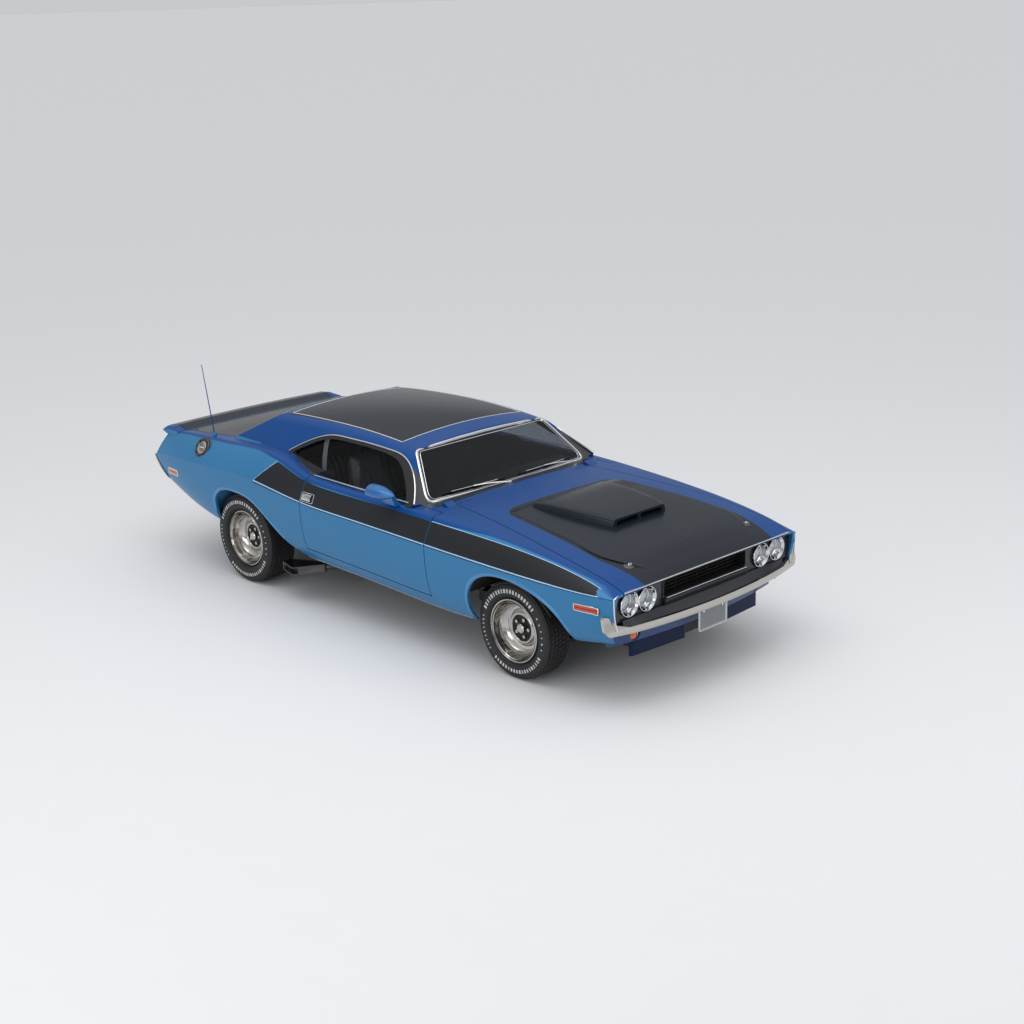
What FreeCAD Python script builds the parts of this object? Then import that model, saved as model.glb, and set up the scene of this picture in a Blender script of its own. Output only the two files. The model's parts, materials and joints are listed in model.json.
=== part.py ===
# A two-door hardtop muscle car of about 1970, full size, as an assembly of its real pieces.
# Millimetres. +X points to the nose, +Y to the car's left, +Z up. The origin is on the ground,
# on the centre line, halfway between the front bumper's and the rear bumper's outer faces.
import FreeCAD, Part
import math
import os

Vec = FreeCAD.Vector
os.makedirs("parts", exist_ok=True)

# Driving dimensions: the overall plan.
WHEELBASE = 2794.0
FRONT_OVERHANG = 935.0
REAR_OVERHANG = 1130.0
WIDTH = 1933.0
ROOF_HEIGHT = 1293.0
FRONT_TRACK = 1516.0
REAR_TRACK = 1542.0

X_NOSE = (FRONT_OVERHANG + WHEELBASE + REAR_OVERHANG) / 2
X_FRONT = X_NOSE - FRONT_OVERHANG
X_REAR = X_FRONT - WHEELBASE
X_TAIL = X_REAR - REAR_OVERHANG
HALF = WIDTH / 2

# Wheels and tyres.
FRONT_TYRE_R = 316.0
REAR_TYRE_R = 330.0
FRONT_TYRE_W = 212.0
REAR_TYRE_W = 236.0
RIM_R = 196.0
RIM_FLANGE_R = 209.0
RIM_SINK = 78.0

# Panels, gaps and openings.
SKIN = 24.0
LID = 28.0
LID_T = 22.0
GAP = 6.0
FIT = 0.5
DOOR_IN = 790.0
DOOR_FRONT = X_FRONT - 695.0
DOOR_LENGTH = 1280.0
DOOR_REAR = DOOR_FRONT - DOOR_LENGTH
SILL_DEPTH = 96.0
HOOD_REAR = 700.0
LIP_X = X_NOSE - 77.0
DECK_FRONT = -1606.0
SPOILER_X = -2218.0
FLOOR_Z = 300.0
FLOOR_T = 12.0
CABIN_HALF = 700.0
WELL_IN = 470.0
REAR_WELL_IN = 622.0
GLASS_T = 5.0

# Steering.
KINGPIN_Y = 690.0

# Nose, lamps and small parts.
FACE_X = LIP_X - 42.0
FACE_LOW = 560.0
FACE_TOP = 730.0
GRILLE_HALF = 388.0
GRILLE_LOW = 610.0
GRILLE_HIGH = 716.0
GRILLE_DEPTH = 74.0
BUMPER_HALF = 908.0
BUMPER_SWEEP = 104.0
BUMPER_T = 20.0
BUMPER_LOW = 482.0
BUMPER_TOP = 524.0
PLATE_X = X_NOSE - 58.0
PLATE_HALF = 134.0
PLATE_LOW = 331.0
PLATE_HOLE_PITCH = 178.0
PLATE_HOLE_R = 3.5
TURN_LAMP_Y = 577.0
TURN_LAMP_Z = 414.0
OUTER_LAMP_Y = 697.0
INNER_LAMP_Y = 541.0
LAMP_Z = 652.0
LAMP_R = 68.0
SCREEN_HALF = 572.0
GLASS_FOOT = 916.0
DOOR_TOP = 953.0
TRUNK_HALF = REAR_WELL_IN - 30.0
TRUNK_FLOOR = 440.0
HUMP_HALF = 160.0
HUMP_TOP = TRUNK_FLOOR + 50.0
ANTENNA_Y = -735.0
ANTENNA_LEAN = -0.15
CAP_Y = 866.0
CAP_Z = 930.0
CAP_R = 78.0


def curve(*points):
    """A natural cubic through (x, value) pairs, as a function of x; straight beyond its ends."""
    pts = sorted(points)
    xs = [p[0] for p in pts]
    ys = [p[1] for p in pts]
    n = len(xs)
    h = [xs[i + 1] - xs[i] for i in range(n - 1)]
    low, diag, up, rhs = [0.0] * n, [1.0] * n, [0.0] * n, [0.0] * n
    for i in range(1, n - 1):
        low[i] = h[i - 1]
        diag[i] = 2 * (h[i - 1] + h[i])
        up[i] = h[i]
        rhs[i] = 6 * ((ys[i + 1] - ys[i]) / h[i] - (ys[i] - ys[i - 1]) / h[i - 1])
    for i in range(1, n):
        w = low[i] / diag[i - 1]
        diag[i] -= w * up[i - 1]
        rhs[i] -= w * rhs[i - 1]
    m = [0.0] * n
    m[-1] = rhs[-1] / diag[-1]
    for i in range(n - 2, -1, -1):
        m[i] = (rhs[i] - up[i] * m[i + 1]) / diag[i]

    def value(x):
        if x <= xs[0]:
            slope = (ys[1] - ys[0]) / h[0] - h[0] * (2 * m[0] + m[1]) / 6
            return ys[0] + slope * (x - xs[0])
        if x >= xs[-1]:
            slope = (ys[-1] - ys[-2]) / h[-1] + h[-1] * (2 * m[-1] + m[-2]) / 6
            return ys[-1] + slope * (x - xs[-1])
        i = max(k for k in range(n - 1) if xs[k] <= x)
        a, b = xs[i + 1] - x, x - xs[i]
        cubic = (m[i] * a ** 3 + m[i + 1] * b ** 3) / (6 * h[i])
        line = (ys[i] / h[i] - m[i] * h[i] / 6) * a + (ys[i + 1] / h[i] - m[i + 1] * h[i] / 6) * b
        return cubic + line

    return value


# Lines of the lower body along its length, as functions of x: the crease on its side, the top
# corner of its shoulder, the centre line of hood and deck, and the sill's lower edge.
F, R = X_FRONT, X_REAR
CREASE_Y = curve((F + 870, HALF - 112), (F + 700, HALF - 72), (F + 400, HALF - 38), (F, HALF - 20),
                 (F - 700, HALF - 6), (F - 1500, HALF), (R + 600, HALF), (R, HALF - 4),
                 (R - 500, HALF - 22), (R - 900, HALF - 60), (R - 1110, HALF - 94))
CREASE_Z = curve((F + 870, 726), (F + 400, 731), (F, 738), (F - 690, 754), (F - 1500, 772),
                 (F - 1975, 785), (R + 480, 818), (R + 200, 845), (R, 851), (R - 420, 834),
                 (R - 950, 800), (R - 1110, 788))
TOP_Y = curve((F + 870, 782), (F + 640, 810), (F + 55, 835), (F - 635, 862), (F - 1500, 878),
              (F - 1975, 878), (R + 500, 852), (R + 200, 824), (R - 100, 806), (R - 700, 788),
              (R - 1110, 760))
TOP_Z = curve((F + 870, 742), (F + 780, 776), (F + 690, 800), (F + 555, 824), (F + 355, 852),
              (F + 55, 884), (F - 295, 907), (F - 635, 922), (F - 895, 930), (F - 1500, 934),
              (F - 1800, 938), (F - 1975, 950), (R + 650, 980), (R + 500, 1012), (R + 350, 1028),
              (R + 60, 1026), (R - 330, 1004), (R - 700, 984), (R - 1030, 952), (R - 1110, 944))
CENTRE_Z = curve((F + 870, 746), (F + 780, 796), (F + 690, 838), (F + 555, 866), (F + 305, 894),
                 (F, 917), (F - 350, 936), (F - 735, 946), (F - 895, 948), (F - 1500, 950),
                 (F - 1975, 962), (R + 500, 1022), (R + 60, 1036), (R - 300, 1018),
                 (R - 700, 998), (R - 930, 972), (R - 1110, 954))
SILL_Z = curve((F + 870, 425), (F + 505, 378), (F, 330), (F - 410, 300), (F - 1200, 316),
               (F - 1950, 342), (R + 300, 368), (R, 398), (R - 330, 436), (R - 700, 498),
               (R - 950, 556), (R - 1110, 596))
SILL_TUCK = curve((F + 870, 104), (F, 112), (R + 800, 112), (R + 100, 78), (R - 260, 56),
                  (R - 700, 70), (R - 1110, 86))
CORNER_R = 26.0
CREASE_BULGE = 5.0


def bezier(*poles):
    b = Part.BezierCurve()
    b.setPoles([Vec(*p) for p in poles])
    return b


def half_poles(x, inset):
    """Poles of the half section at x: sill to crease, crease to shoulder, rounded corner, top."""
    yc, zc = CREASE_Y(x) - inset, CREASE_Z(x)
    ys, zs = TOP_Y(x) - inset, TOP_Z(x) - inset
    zt, zb = CENTRE_Z(x) - inset, SILL_Z(x)
    h = zc - zb
    tuck = SILL_TUCK(x)
    side = [(yc - tuck, zb), (yc - 0.22 * tuck, zb + 0.16 * h),
            (yc + CREASE_BULGE, zc - 0.42 * h), (yc, zc)]
    dy, dz = yc - ys, zc - zs
    size = math.hypot(dy, dz)
    lean = math.radians(7)
    ay = (dy * math.cos(lean) - dz * math.sin(lean)) / size
    az = (dy * math.sin(lean) + dz * math.cos(lean)) / size
    r = CORNER_R
    pa = (ys + r * ay, zs + r * az)
    shoulder = [(yc, zc), (pa[0] + 0.45 * size * ay, pa[1] + 0.45 * size * az), pa]
    rise = 2 * (zt - zs) / ys
    pb = (ys - r, zs + r * rise)
    corner = [pa, (ys, zs), pb]
    return side, shoulder, corner, pb, (0.0, zs + ys * rise)


def section(x, inset=0.0, sink=0.0):
    """The closed section of the lower body at x, left side first."""
    side, shoulder, corner, pb, peak = half_poles(x, inset)
    edges = []
    for run in (side, shoulder, corner):
        edges.append(bezier(*[(x, y, z) for y, z in run]).toShape())
    edges.append(bezier((x, pb[0], pb[1]), (x, peak[0], peak[1]), (x, -pb[0], pb[1])).toShape())
    for run in (corner, shoulder, side):
        edges.append(bezier(*[(x, -y, z) for y, z in reversed(run)]).toShape())
    y0, z0 = side[0]
    foot = [Vec(x, -y0, z0), Vec(x, y0, z0)]
    if sink:
        foot = [foot[0], Vec(x, -y0, z0 - sink), Vec(x, y0, z0 - sink), foot[1]]
    for a, b in zip(foot, foot[1:]):
        edges.append(Part.LineSegment(a, b).toShape())
    return Part.Wire(edges)


def stations(x0, x1, step=210.0):
    n = max(3, int(math.ceil(abs(x1 - x0) / step)))
    return [x0 + (x1 - x0) * i / n for i in range(n + 1)]


def lower_body(x0, x1, inset=0.0, sink=0.0):
    return Part.makeLoft([section(x, inset, sink) for x in stations(x0, x1)], True, False)


# Lines of the glasshouse: its side at belt height, the rail where side and roof meet, the roof.
BELT_Z = 950.0
BELT_Y = curve((F - 735, 842), (F - 1500, 838), (F - 1900, 833), (R + 500, 824), (R + 100, 800),
               (R - 300, 770), (R - 500, 752))
RAIL_Y = curve((F - 735, 612), (F - 1182, 612), (F - 1745, 608), (R + 600, 600), (R + 200, 584),
               (R - 500, 540))
RAIL_Z = curve((F - 735, 1156), (F - 1182, 1214), (F - 1495, 1242), (F - 1845, ROOF_HEIGHT - 38),
               (R + 600, ROOF_HEIGHT - 42), (R + 208, ROOF_HEIGHT - 60), (R - 500, 1150))
ROOF_Z = curve((F - 735, 1172), (F - 1182, 1248), (F - 1495, 1280), (F - 1845, ROOF_HEIGHT),
               (R + 600, ROOF_HEIGHT - 5), (R + 208, ROOF_HEIGHT - 27), (R - 500, 1180))
RAIL_R = 60.0
HOUSE_FRONT = F - 660.0
HOUSE_REAR = R - 470.0
HOUSE_FOOT = 900.0


def house_section(x, inset=0.0):
    """The closed section of the glasshouse at x, down to below the belt."""
    yb, yr = BELT_Y(x) - inset, RAIL_Y(x) - inset
    zr, zt = RAIL_Z(x) - inset, ROOF_Z(x) - inset
    slope = (yb - yr) / (BELT_Z - zr)
    y_foot = yb + slope * (HOUSE_FOOT - BELT_Z)
    size = math.hypot(y_foot - yr, HOUSE_FOOT - zr)
    ay, az = (y_foot - yr) / size, (HOUSE_FOOT - zr) / size
    pa = (yr + RAIL_R * ay, zr + RAIL_R * az)
    rise = 2 * (zt - zr) / yr
    pb = (yr - RAIL_R, zr + RAIL_R * rise)
    edges = [Part.LineSegment(Vec(x, y_foot, HOUSE_FOOT), Vec(x, *pa)).toShape(),
             bezier((x, *pa), (x, yr, zr), (x, *pb)).toShape(),
             bezier((x, *pb), (x, 0, zr + yr * rise), (x, -pb[0], pb[1])).toShape(),
             bezier((x, -pb[0], pb[1]), (x, -yr, zr), (x, -pa[0], pa[1])).toShape(),
             Part.LineSegment(Vec(x, -pa[0], pa[1]), Vec(x, -y_foot, HOUSE_FOOT)).toShape(),
             Part.LineSegment(Vec(x, -y_foot, HOUSE_FOOT), Vec(x, y_foot, HOUSE_FOOT)).toShape()]
    return Part.Wire(edges)


def house_loft(inset=0.0):
    return Part.makeLoft([house_section(x, inset) for x in stations(HOUSE_FRONT, HOUSE_REAR)],
                         True, False)


# The two screens are bowed sheets laid on a slope: the point where the outer face crosses the
# centre line at belt height, its lean back for each unit up, and the bow at the belt's half width.
SCREEN_FOOT = (F - 855, 942.0)
SCREEN_LEAN = -1.03
SCREEN_BOW = 46.0
BACKLIGHT_TOP = (R + 190, ROOF_HEIGHT - 27)
BACKLIGHT_LEAN = 1.98
BACKLIGHT_BOW = 34.0
BOW_HALF = 760.0


def box(x0, x1, y0, y1, z0, z1):
    return Part.makeBox(abs(x1 - x0), abs(y1 - y0), abs(z1 - z0),
                        Vec(min(x0, x1), min(y0, y1), min(z0, z1)))


def beyond_sheet(point, lean, bow, outwards, shift=0.0):
    """Everything beyond a bowed, leaning sheet: ahead of it if outwards is 1, behind it if -1."""
    x0, z0 = point
    low, high = 200.0, 1700.0
    reach, far = 1150.0, 2200.0
    sag = bow * (reach / BOW_HALF) ** 2
    x0 += shift

    def at(z, x, y):
        return Vec(x + lean * (z - z0), y, z)

    faces = []
    z = low
    arc = Part.Arc(at(z, x0 - outwards * sag, -reach), at(z, x0, 0),
                   at(z, x0 - outwards * sag, reach)).toShape()
    a, b = at(z, x0 - outwards * sag, reach), at(z, x0 + outwards * far, reach)
    c, d = at(z, x0 + outwards * far, -reach), at(z, x0 - outwards * sag, -reach)
    lines = [Part.LineSegment(p, q).toShape() for p, q in ((a, b), (b, c), (c, d))]
    face = Part.Face(Part.Wire([arc] + lines))
    return face.extrude(Vec(lean * (high - low), 0, high - low))


def rounded(points, radius):
    """A closed wire through corners given as vectors, each rounded by radius or its own number."""
    n = len(points)
    radii = radius if isinstance(radius, (list, tuple)) else [radius] * n
    starts, ends, arcs = [], [], []
    for i, p in enumerate(points):
        a, b = points[i - 1].sub(p), points[(i + 1) % n].sub(p)
        la, lb = a.Length, b.Length
        a.normalize()
        b.normalize()
        half = a.getAngle(b) / 2
        r = radii[i]
        cut = min(r / math.tan(half), 0.45 * la, 0.45 * lb)
        r = cut * math.tan(half)
        if r < 0.5:
            starts.append(p)
            ends.append(p)
            arcs.append(None)
            continue
        mid = a.add(b)
        mid.normalize()
        centre = p.add(mid.multiply(r / math.sin(half)))
        inward = p.sub(centre)
        inward.normalize()
        s, e = p.add(a.multiply(cut)), p.add(b.multiply(cut))
        starts.append(s)
        ends.append(e)
        arcs.append(Part.Arc(s, centre.add(inward.multiply(r)), e).toShape())
    edges = []
    for i in range(n):
        if arcs[i]:
            edges.append(arcs[i])
        nxt = (i + 1) % n
        if ends[i].distanceToPoint(starts[nxt]) > 0.01:
            edges.append(Part.LineSegment(ends[i], starts[nxt]).toShape())
    return Part.Wire(edges)


def prism_y(outline, y0, y1, radius=0.0):
    """An outline of (x, z) corners drawn at y0 and pushed to y1."""
    wire = rounded([Vec(x, y0, z) for x, z in outline], radius)
    return Part.Face(wire).extrude(Vec(0, y1 - y0, 0))


def prism_x(outline, x0, x1, radius=0.0):
    wire = rounded([Vec(x0, y, z) for y, z in outline], radius)
    return Part.Face(wire).extrude(Vec(x1 - x0, 0, 0))


def prism_z(outline, z0, z1, radius=0.0):
    wire = rounded([Vec(x, y, z0) for x, y in outline], radius)
    return Part.Face(wire).extrude(Vec(0, 0, z1 - z0))


def spline_prism_y(points, y0, y1):
    """A closed outline: a smooth curve through (x, z) points, closed by straight lines below."""
    c = Part.BSplineCurve()
    c.interpolate([Vec(x, y0, z) for x, z in points])
    first, last = points[0], points[-1]
    low = min(first[1], last[1]) - 400
    corners = [Vec(last[0], y0, last[1]), Vec(last[0], y0, low), Vec(first[0], y0, low),
               Vec(first[0], y0, first[1])]
    edges = [c.toShape()] + [Part.LineSegment(corners[i], corners[i + 1]).toShape()
                             for i in range(3)]
    return Part.Face(Part.Wire(edges)).extrude(Vec(0, y1 - y0, 0))


def cylinder(p, axis, r, length):
    return Part.makeCylinder(r, length, Vec(*p), Vec(*axis))


def turned(profile, centre, axis=(0, 1, 0)):
    """A ring turned about the Y line through centre, from (radius, offset along Y) corners."""
    pts = [Vec(centre[0] + r, centre[1] + y, centre[2]) for r, y in profile]
    pts.append(pts[0])
    face = Part.Face(Part.makePolygon(pts))
    return face.revolve(Vec(*centre), Vec(*axis), 360)


def fuse(shapes):
    out = shapes[0].multiFuse(shapes[1:]) if len(shapes) > 1 else shapes[0]
    return out.removeSplitter()


def keep(shape):
    """The solids of a shape, without crumbs under a cubic centimetre."""
    good = [s for s in shape.Solids if s.Volume > CRUMB]
    return good[0] if len(good) == 1 else Part.makeCompound(good)


CRUMB = 1000.0
made = {}


def save(name, shape):
    solids = shape.Solids
    for solid in solids:
        if not solid.isValid():
            solid.fix(0.01, 0.01, 0.01)
    out = solids[0] if len(solids) == 1 else Part.makeCompound(solids)
    out.exportStep("parts/" + name + ".step")
    made[name] = out
    b = out.optimalBoundingBox(False, False)
    print("%-22s %d solids  %8.1f litres  x %.0f..%.0f y %.0f..%.0f z %.0f..%.0f" % (
        name, len(solids), out.Volume / 1e6, b.XMin, b.XMax, b.YMin, b.YMax, b.ZMin, b.ZMax))


# Master shapes that the panels are cut from.
NOSE_END = X_NOSE - 40
TAIL_END = X_TAIL + 15
body_full = lower_body(NOSE_END, TAIL_END)
body_in = lower_body(NOSE_END + 60, TAIL_END - 60, SKIN, 200.0)
body_lid = lower_body(NOSE_END + 60, TAIL_END - 60, LID, 300.0)
house = house_loft().cut(beyond_sheet(SCREEN_FOOT, SCREEN_LEAN, SCREEN_BOW, 1)).cut(
    beyond_sheet(BACKLIGHT_TOP, BACKLIGHT_LEAN, BACKLIGHT_BOW, -1))
WALL = 34.0
SCREEN_FRAME = 16.0
house_in = house_loft(WALL).cut(
    beyond_sheet(SCREEN_FOOT, SCREEN_LEAN, SCREEN_BOW, 1, -SCREEN_FRAME * 1.4)).cut(
    beyond_sheet(BACKLIGHT_TOP, BACKLIGHT_LEAN, BACKLIGHT_BOW, -1, SCREEN_FRAME * 2.2))

# The nose and the tail are cut to their profiles in side view.
NOSE_LINE = [(LIP_X, 900), (LIP_X, 728), (LIP_X - 30, 560), (LIP_X - 66, 470), (LIP_X - 110, 380),
             (LIP_X - 160, 250), (LIP_X + 200, 250), (LIP_X + 200, 900)]
TAIL_LINE = [(X_TAIL + 72, 1100), (X_TAIL + 72, 950), (X_TAIL + 26, 775), (X_TAIL + 200, 560),
             (X_TAIL + 330, 430), (X_TAIL - 200, 430), (X_TAIL - 200, 1100)]
nose_cut = prism_y(NOSE_LINE, -HALF - 50, HALF + 50)
tail_cut = prism_y(TAIL_LINE, -HALF - 50, HALF + 50)
body = body_full.cut(nose_cut).cut(tail_cut)

# Wheel openings in the skin, from (distance ahead of the axle, height) points.
FRONT_ARCH = [(-338, 240), (-340, 420), (-306, 545), (-222, 634), (-105, 678), (90, 680),
              (262, 640), (380, 582), (452, 514), (492, 440), (506, 330)]
REAR_ARCH = [(-258, 380), (-262, 500), (-236, 610), (-150, 682), (30, 708), (190, 690),
             (310, 636), (430, 552), (560, 450), (680, 392), (790, 340)]


def arch(points, axle, y0, y1):
    return spline_prism_y([(axle + dx, z) for dx, z in points], y0, y1)


def wheel_well(axle, radius, z, y_in):
    """The room for a wheel, from y_in outwards: round over the tyre and open below."""
    top = cylinder((axle, y_in, z), (0, 1, 0), radius, 1100 - y_in)
    return top.fuse(box(axle - radius, axle + radius, y_in, 1100, z - 500, z))


FRONT_WELL_R = 392.0
REAR_WELL_R = 372.0
front_well = wheel_well(X_FRONT, FRONT_WELL_R, FRONT_TYRE_R, WELL_IN)
rear_well = wheel_well(X_REAR, REAR_WELL_R, REAR_TYRE_R, REAR_WELL_IN)
front_arch = arch(FRONT_ARCH, X_FRONT, 600, 1100)
rear_arch = arch(REAR_ARCH, X_REAR, 600, 1100)

# Panel outlines in plan: the hood between its side gaps, and the trunk lid.
HOOD_Y = curve((HOOD_REAR - 10, 612), (F - 200, 690), (F + 250, 752), (F + 600, 776),
               (LIP_X + 40, 778))


def plan_strip(x0, x1, half_width, z0, z1, grow=0.0, n=7):
    """A symmetrical strip in plan whose half width follows a curve."""
    xs = [x0 + (x1 - x0) * i / n for i in range(n + 1)]
    left, right = Part.BSplineCurve(), Part.BSplineCurve()
    left.interpolate([Vec(x, half_width(x) + grow, z0) for x in xs])
    right.interpolate([Vec(x, -half_width(x) - grow, z0) for x in reversed(xs)])
    ends = [Part.LineSegment(Vec(x1, half_width(x1) + grow, z0),
                             Vec(x1, -half_width(x1) - grow, z0)).toShape(),
            Part.LineSegment(Vec(x0, -half_width(x0) - grow, z0),
                             Vec(x0, half_width(x0) + grow, z0)).toShape()]
    wire = Part.Wire([left.toShape(), ends[0], right.toShape(), ends[1]])
    return Part.Face(wire).extrude(Vec(0, 0, z1 - z0))


hood_outline = plan_strip(HOOD_REAR, LIP_X + 60, HOOD_Y, 600, 1150)
hood_opening = plan_strip(HOOD_REAR - GAP, LIP_X + 60, HOOD_Y, 600, 1150, GAP)
TRUNK_Y = curve((SPOILER_X - 300, 700), (SPOILER_X + 200, 712), (DECK_FRONT + 10, 690))
trunk_outline = plan_strip(X_TAIL - 30, DECK_FRONT - GAP, TRUNK_Y, 780, 1150, 0)
trunk_opening = plan_strip(X_TAIL - 30, DECK_FRONT, TRUNK_Y, 780, 1150, GAP)

# Side window outline, in (x, z).
WINDOW = [(F - 950, 946), (F - 1250, 1166), (F - 1600, 1184), (F - 1930, 1182), (R + 715, 1150),
          (R + 470, 1040), (R + 600, 992), (R + 800, 952), (F - 1960, 942)]
WINDOW_R = [8, 46, 300, 160, 120, 14, 200, 200, 400]


def window_prism(y0, y1, shrink=0.0):
    wire = rounded([Vec(x, y0, z) for x, z in WINDOW], WINDOW_R)
    if shrink:
        wire = wire.makeOffset2D(-shrink)
    return Part.Face(wire).extrude(Vec(0, y1 - y0, 0))


def mirror_y(shape):
    return shape.mirror(Vec(0, 0, 0), Vec(0, 1, 0))


def pair(shape):
    return shape.fuse(mirror_y(shape))


def sides(shape):
    """A left piece and its mirror image as one compound of two solids."""
    return Part.makeCompound([shape, mirror_y(shape)])


def under_line(line, lift, y0, x0, x1, y1=1100.0):
    """Everything below a line of the body, raised by lift, between x0 and x1 and y0 and y1."""
    n = 8
    top = [(x0 + (x1 - x0) * i / n, line(x0 + (x1 - x0) * i / n) + lift) for i in range(n + 1)]
    return prism_y(top + [(x1, 150), (x0, 150)], y0, y1)


# Tail lamps: two long lenses let into the slanted tail panel.
LENS_T = 12.0
LENS_SINK = 3.0
LAMP_FIT = 1.0
TAIL_LAMP = (118.0, 752.0, 806.0, 896.0)


def tail_layer(near, far):
    """The slab between two depths into the tail panel."""
    line = TAIL_LINE[1:3]
    out = [(x + near, z) for x, z in line]
    return prism_y(out + [(x + far, z) for x, z in reversed(line)], -900, 900)


def lamp_outlines(grow=0.0):
    y0, y1, z0, z1 = TAIL_LAMP
    left = prism_x([(y0 - grow, z0 - grow), (y1 + grow, z0 - grow), (y1 - 22 + grow, z1 + grow),
                    (y0 - grow, z1 + grow)], X_TAIL - 60, X_TAIL + 260, 16)
    return left, mirror_y(left)


# Body shell: quarters, sills, posts, pillars and roof in one welded piece.
skin_in = lower_body(NOSE_END + 60, TAIL_END - 60, SKIN + 1, 0)
quarters = body.common(box(DOOR_REAR - GAP, X_TAIL - 10, -1100, 1100, 200, 1300))
cabin_rear = box(DOOR_REAR, R + 130, -CABIN_HALF + 60, CABIN_HALF - 60, FLOOR_Z - 100, 1200).fuse(
    box(DOOR_REAR - 10, R + 430, -CABIN_HALF - 18, CABIN_HALF + 18, FLOOR_Z - 100, 1200))
trunk_void = box(R + 100, X_TAIL + 190, -TRUNK_HALF, TRUNK_HALF, TRUNK_FLOOR, 1300).fuse(
    box(R - 400, X_TAIL + 190, -1000, 1000, 480, 1300).common(
        lower_body(R - 300, TAIL_END - 60, 50, 0)))
under_rear = box(DOOR_REAR, X_TAIL + 190, -TRUNK_HALF, TRUNK_HALF, 100, TRUNK_FLOOR)
axle_room = box(R - 385, R + 385, -REAR_WELL_IN - 20, REAR_WELL_IN + 20, 100, 470).fuse(
    box(R - 385, R + 385, -HUMP_HALF - 2, HUMP_HALF + 2, 100, HUMP_TOP + 1))
quarters = quarters.cut(Part.makeCompound([cabin_rear, trunk_void.common(body_in), under_rear]))
tyre_room = cylinder((R, REAR_WELL_IN, REAR_TYRE_R), (0, 1, 0), REAR_TYRE_R + 14, 278)
quarters = quarters.cut(pair(rear_well.common(skin_in))).cut(pair(tyre_room))
quarters = quarters.cut(pair(rear_arch)).cut(axle_room)
quarters = quarters.cut(trunk_opening.cut(body_lid))

sill = body.common(under_line(SILL_Z, SILL_DEPTH, 720, DOOR_REAR - GAP, DOOR_FRONT + GAP))
post_x = DOOR_FRONT + GAP
post = box(post_x, post_x + 45, 740, 1000, 280, 905).common(skin_in)
ledge = box(F - 947, post_x + 45, 735, DOOR_IN - GAP, 850, 905).common(skin_in)
foot = body.common(box(F - 947, HOOD_REAR - GAP, 735, DOOR_IN - GAP, 850, 1000))
pillar_foot = house.common(box(F - 947, F - 840, 745, 850, 941, 968))
pillar_root = house.common(box(F - 947, F - 840, 745, DOOR_IN - GAP, 900, 945))

shell_top = house.cut(house_in)
shell_top = shell_top.cut(box(HOUSE_REAR - 900, HOUSE_FRONT + 50, -1100, 1100, 700, 930))
shell_top = shell_top.cut(pair(box(DOOR_REAR - GAP, HOUSE_FRONT + 50, DOOR_IN - GAP, 1100, 700,
                                   DOOR_TOP)))
shell_top = shell_top.cut(trunk_opening)
screen_hole = prism_x([(-SCREEN_HALF - 146, 948), (SCREEN_HALF + 146, 948), (SCREEN_HALF, 1218),
                       (-SCREEN_HALF, 1218)], F - 1300, F - 500, 40)
light_hole = prism_x([(-622, 1040), (622, 1040), (524, 1226), (-524, 1226)], R + 400, R - 600, 44)
shell_top = shell_top.cut(screen_hole).cut(light_hole).cut(window_prism(-1100, 1100))
shell = shell_top
for piece in (quarters, pair(sill), pair(post), pair(ledge), pair(foot), pair(pillar_foot),
              pair(pillar_root)):
    shell = shell.fuse(piece)
for outline in lamp_outlines(LAMP_FIT):
    shell = shell.cut(outline.common(tail_layer(-40, LENS_T + LENS_SINK)))
shell = keep(shell)
save("body_shell", shell)

# Screens, laid in their openings.
screen_sheet = beyond_sheet(SCREEN_FOOT, SCREEN_LEAN, SCREEN_BOW, 1, -2 * GLASS_T).cut(
    beyond_sheet(SCREEN_FOOT, SCREEN_LEAN, SCREEN_BOW, 1, -GLASS_T * 0.4))
screen_fit = prism_x([(-SCREEN_HALF - 145, 949), (SCREEN_HALF + 145, 949), (SCREEN_HALF, 1217),
                      (-SCREEN_HALF, 1217)], F - 1300, F - 500, 39)
save("windshield", keep(screen_sheet.common(screen_fit)))
light_sheet = beyond_sheet(BACKLIGHT_TOP, BACKLIGHT_LEAN, BACKLIGHT_BOW, -1, 3.2 * GLASS_T).cut(
    beyond_sheet(BACKLIGHT_TOP, BACKLIGHT_LEAN, BACKLIGHT_BOW, -1, GLASS_T))
light_fit = prism_x([(-621, 1041), (621, 1041), (523, 1225), (-523, 1225)], R + 400, R - 600, 43)
save("rear_window", keep(light_sheet.common(light_fit)))

# Front fenders: the skin from the door to the nose, between the hood gap and the wheel opening.
skin = body.cut(body_in)
fender_area = box(DOOR_FRONT + GAP, X_NOSE + 40, 0, 1100, 150, 1300).fuse(
    box(HOOD_REAR, DOOR_FRONT + GAP, 0, DOOR_IN - GAP, 880, 1300))
fender = skin.common(fender_area).cut(hood_opening).cut(front_arch)
ear = prism_y([(HOOD_REAR, 915), (HOOD_REAR, 954), (HOOD_REAR + 12, 955), (HOOD_REAR + 105, 915)],
              612 + GAP, 700, 0).cut(hood_opening)
fender = keep(fender.fuse(ear))
save("front_fender_left", fender)
save("front_fender_right", mirror_y(fender))

# Hood: the skin inside its gaps, with the two-mouthed scoop standing on it.
lid_under = lower_body(NOSE_END + 60, TAIL_END - 60, LID_T, 300.0)
hood = body.common(hood_outline).cut(lid_under)
SCOOP_REAR = HOOD_REAR + 463.0
SCOOP_LENGTH = 617.0
SCOOP_TOP = 974.0
sx0, sx1 = SCOOP_REAR, SCOOP_REAR + SCOOP_LENGTH


def scoop_section(x, half, top, corner):
    """A section of the scoop with rounded upper corners, its foot below the hood's skin."""
    low = CENTRE_Z(x) - 32
    pts = [Vec(x, -half - 14, low), Vec(x, -half, top), Vec(x, half, top),
           Vec(x, half + 14, low)]
    return rounded(pts, [0, corner, corner, 0])


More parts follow.
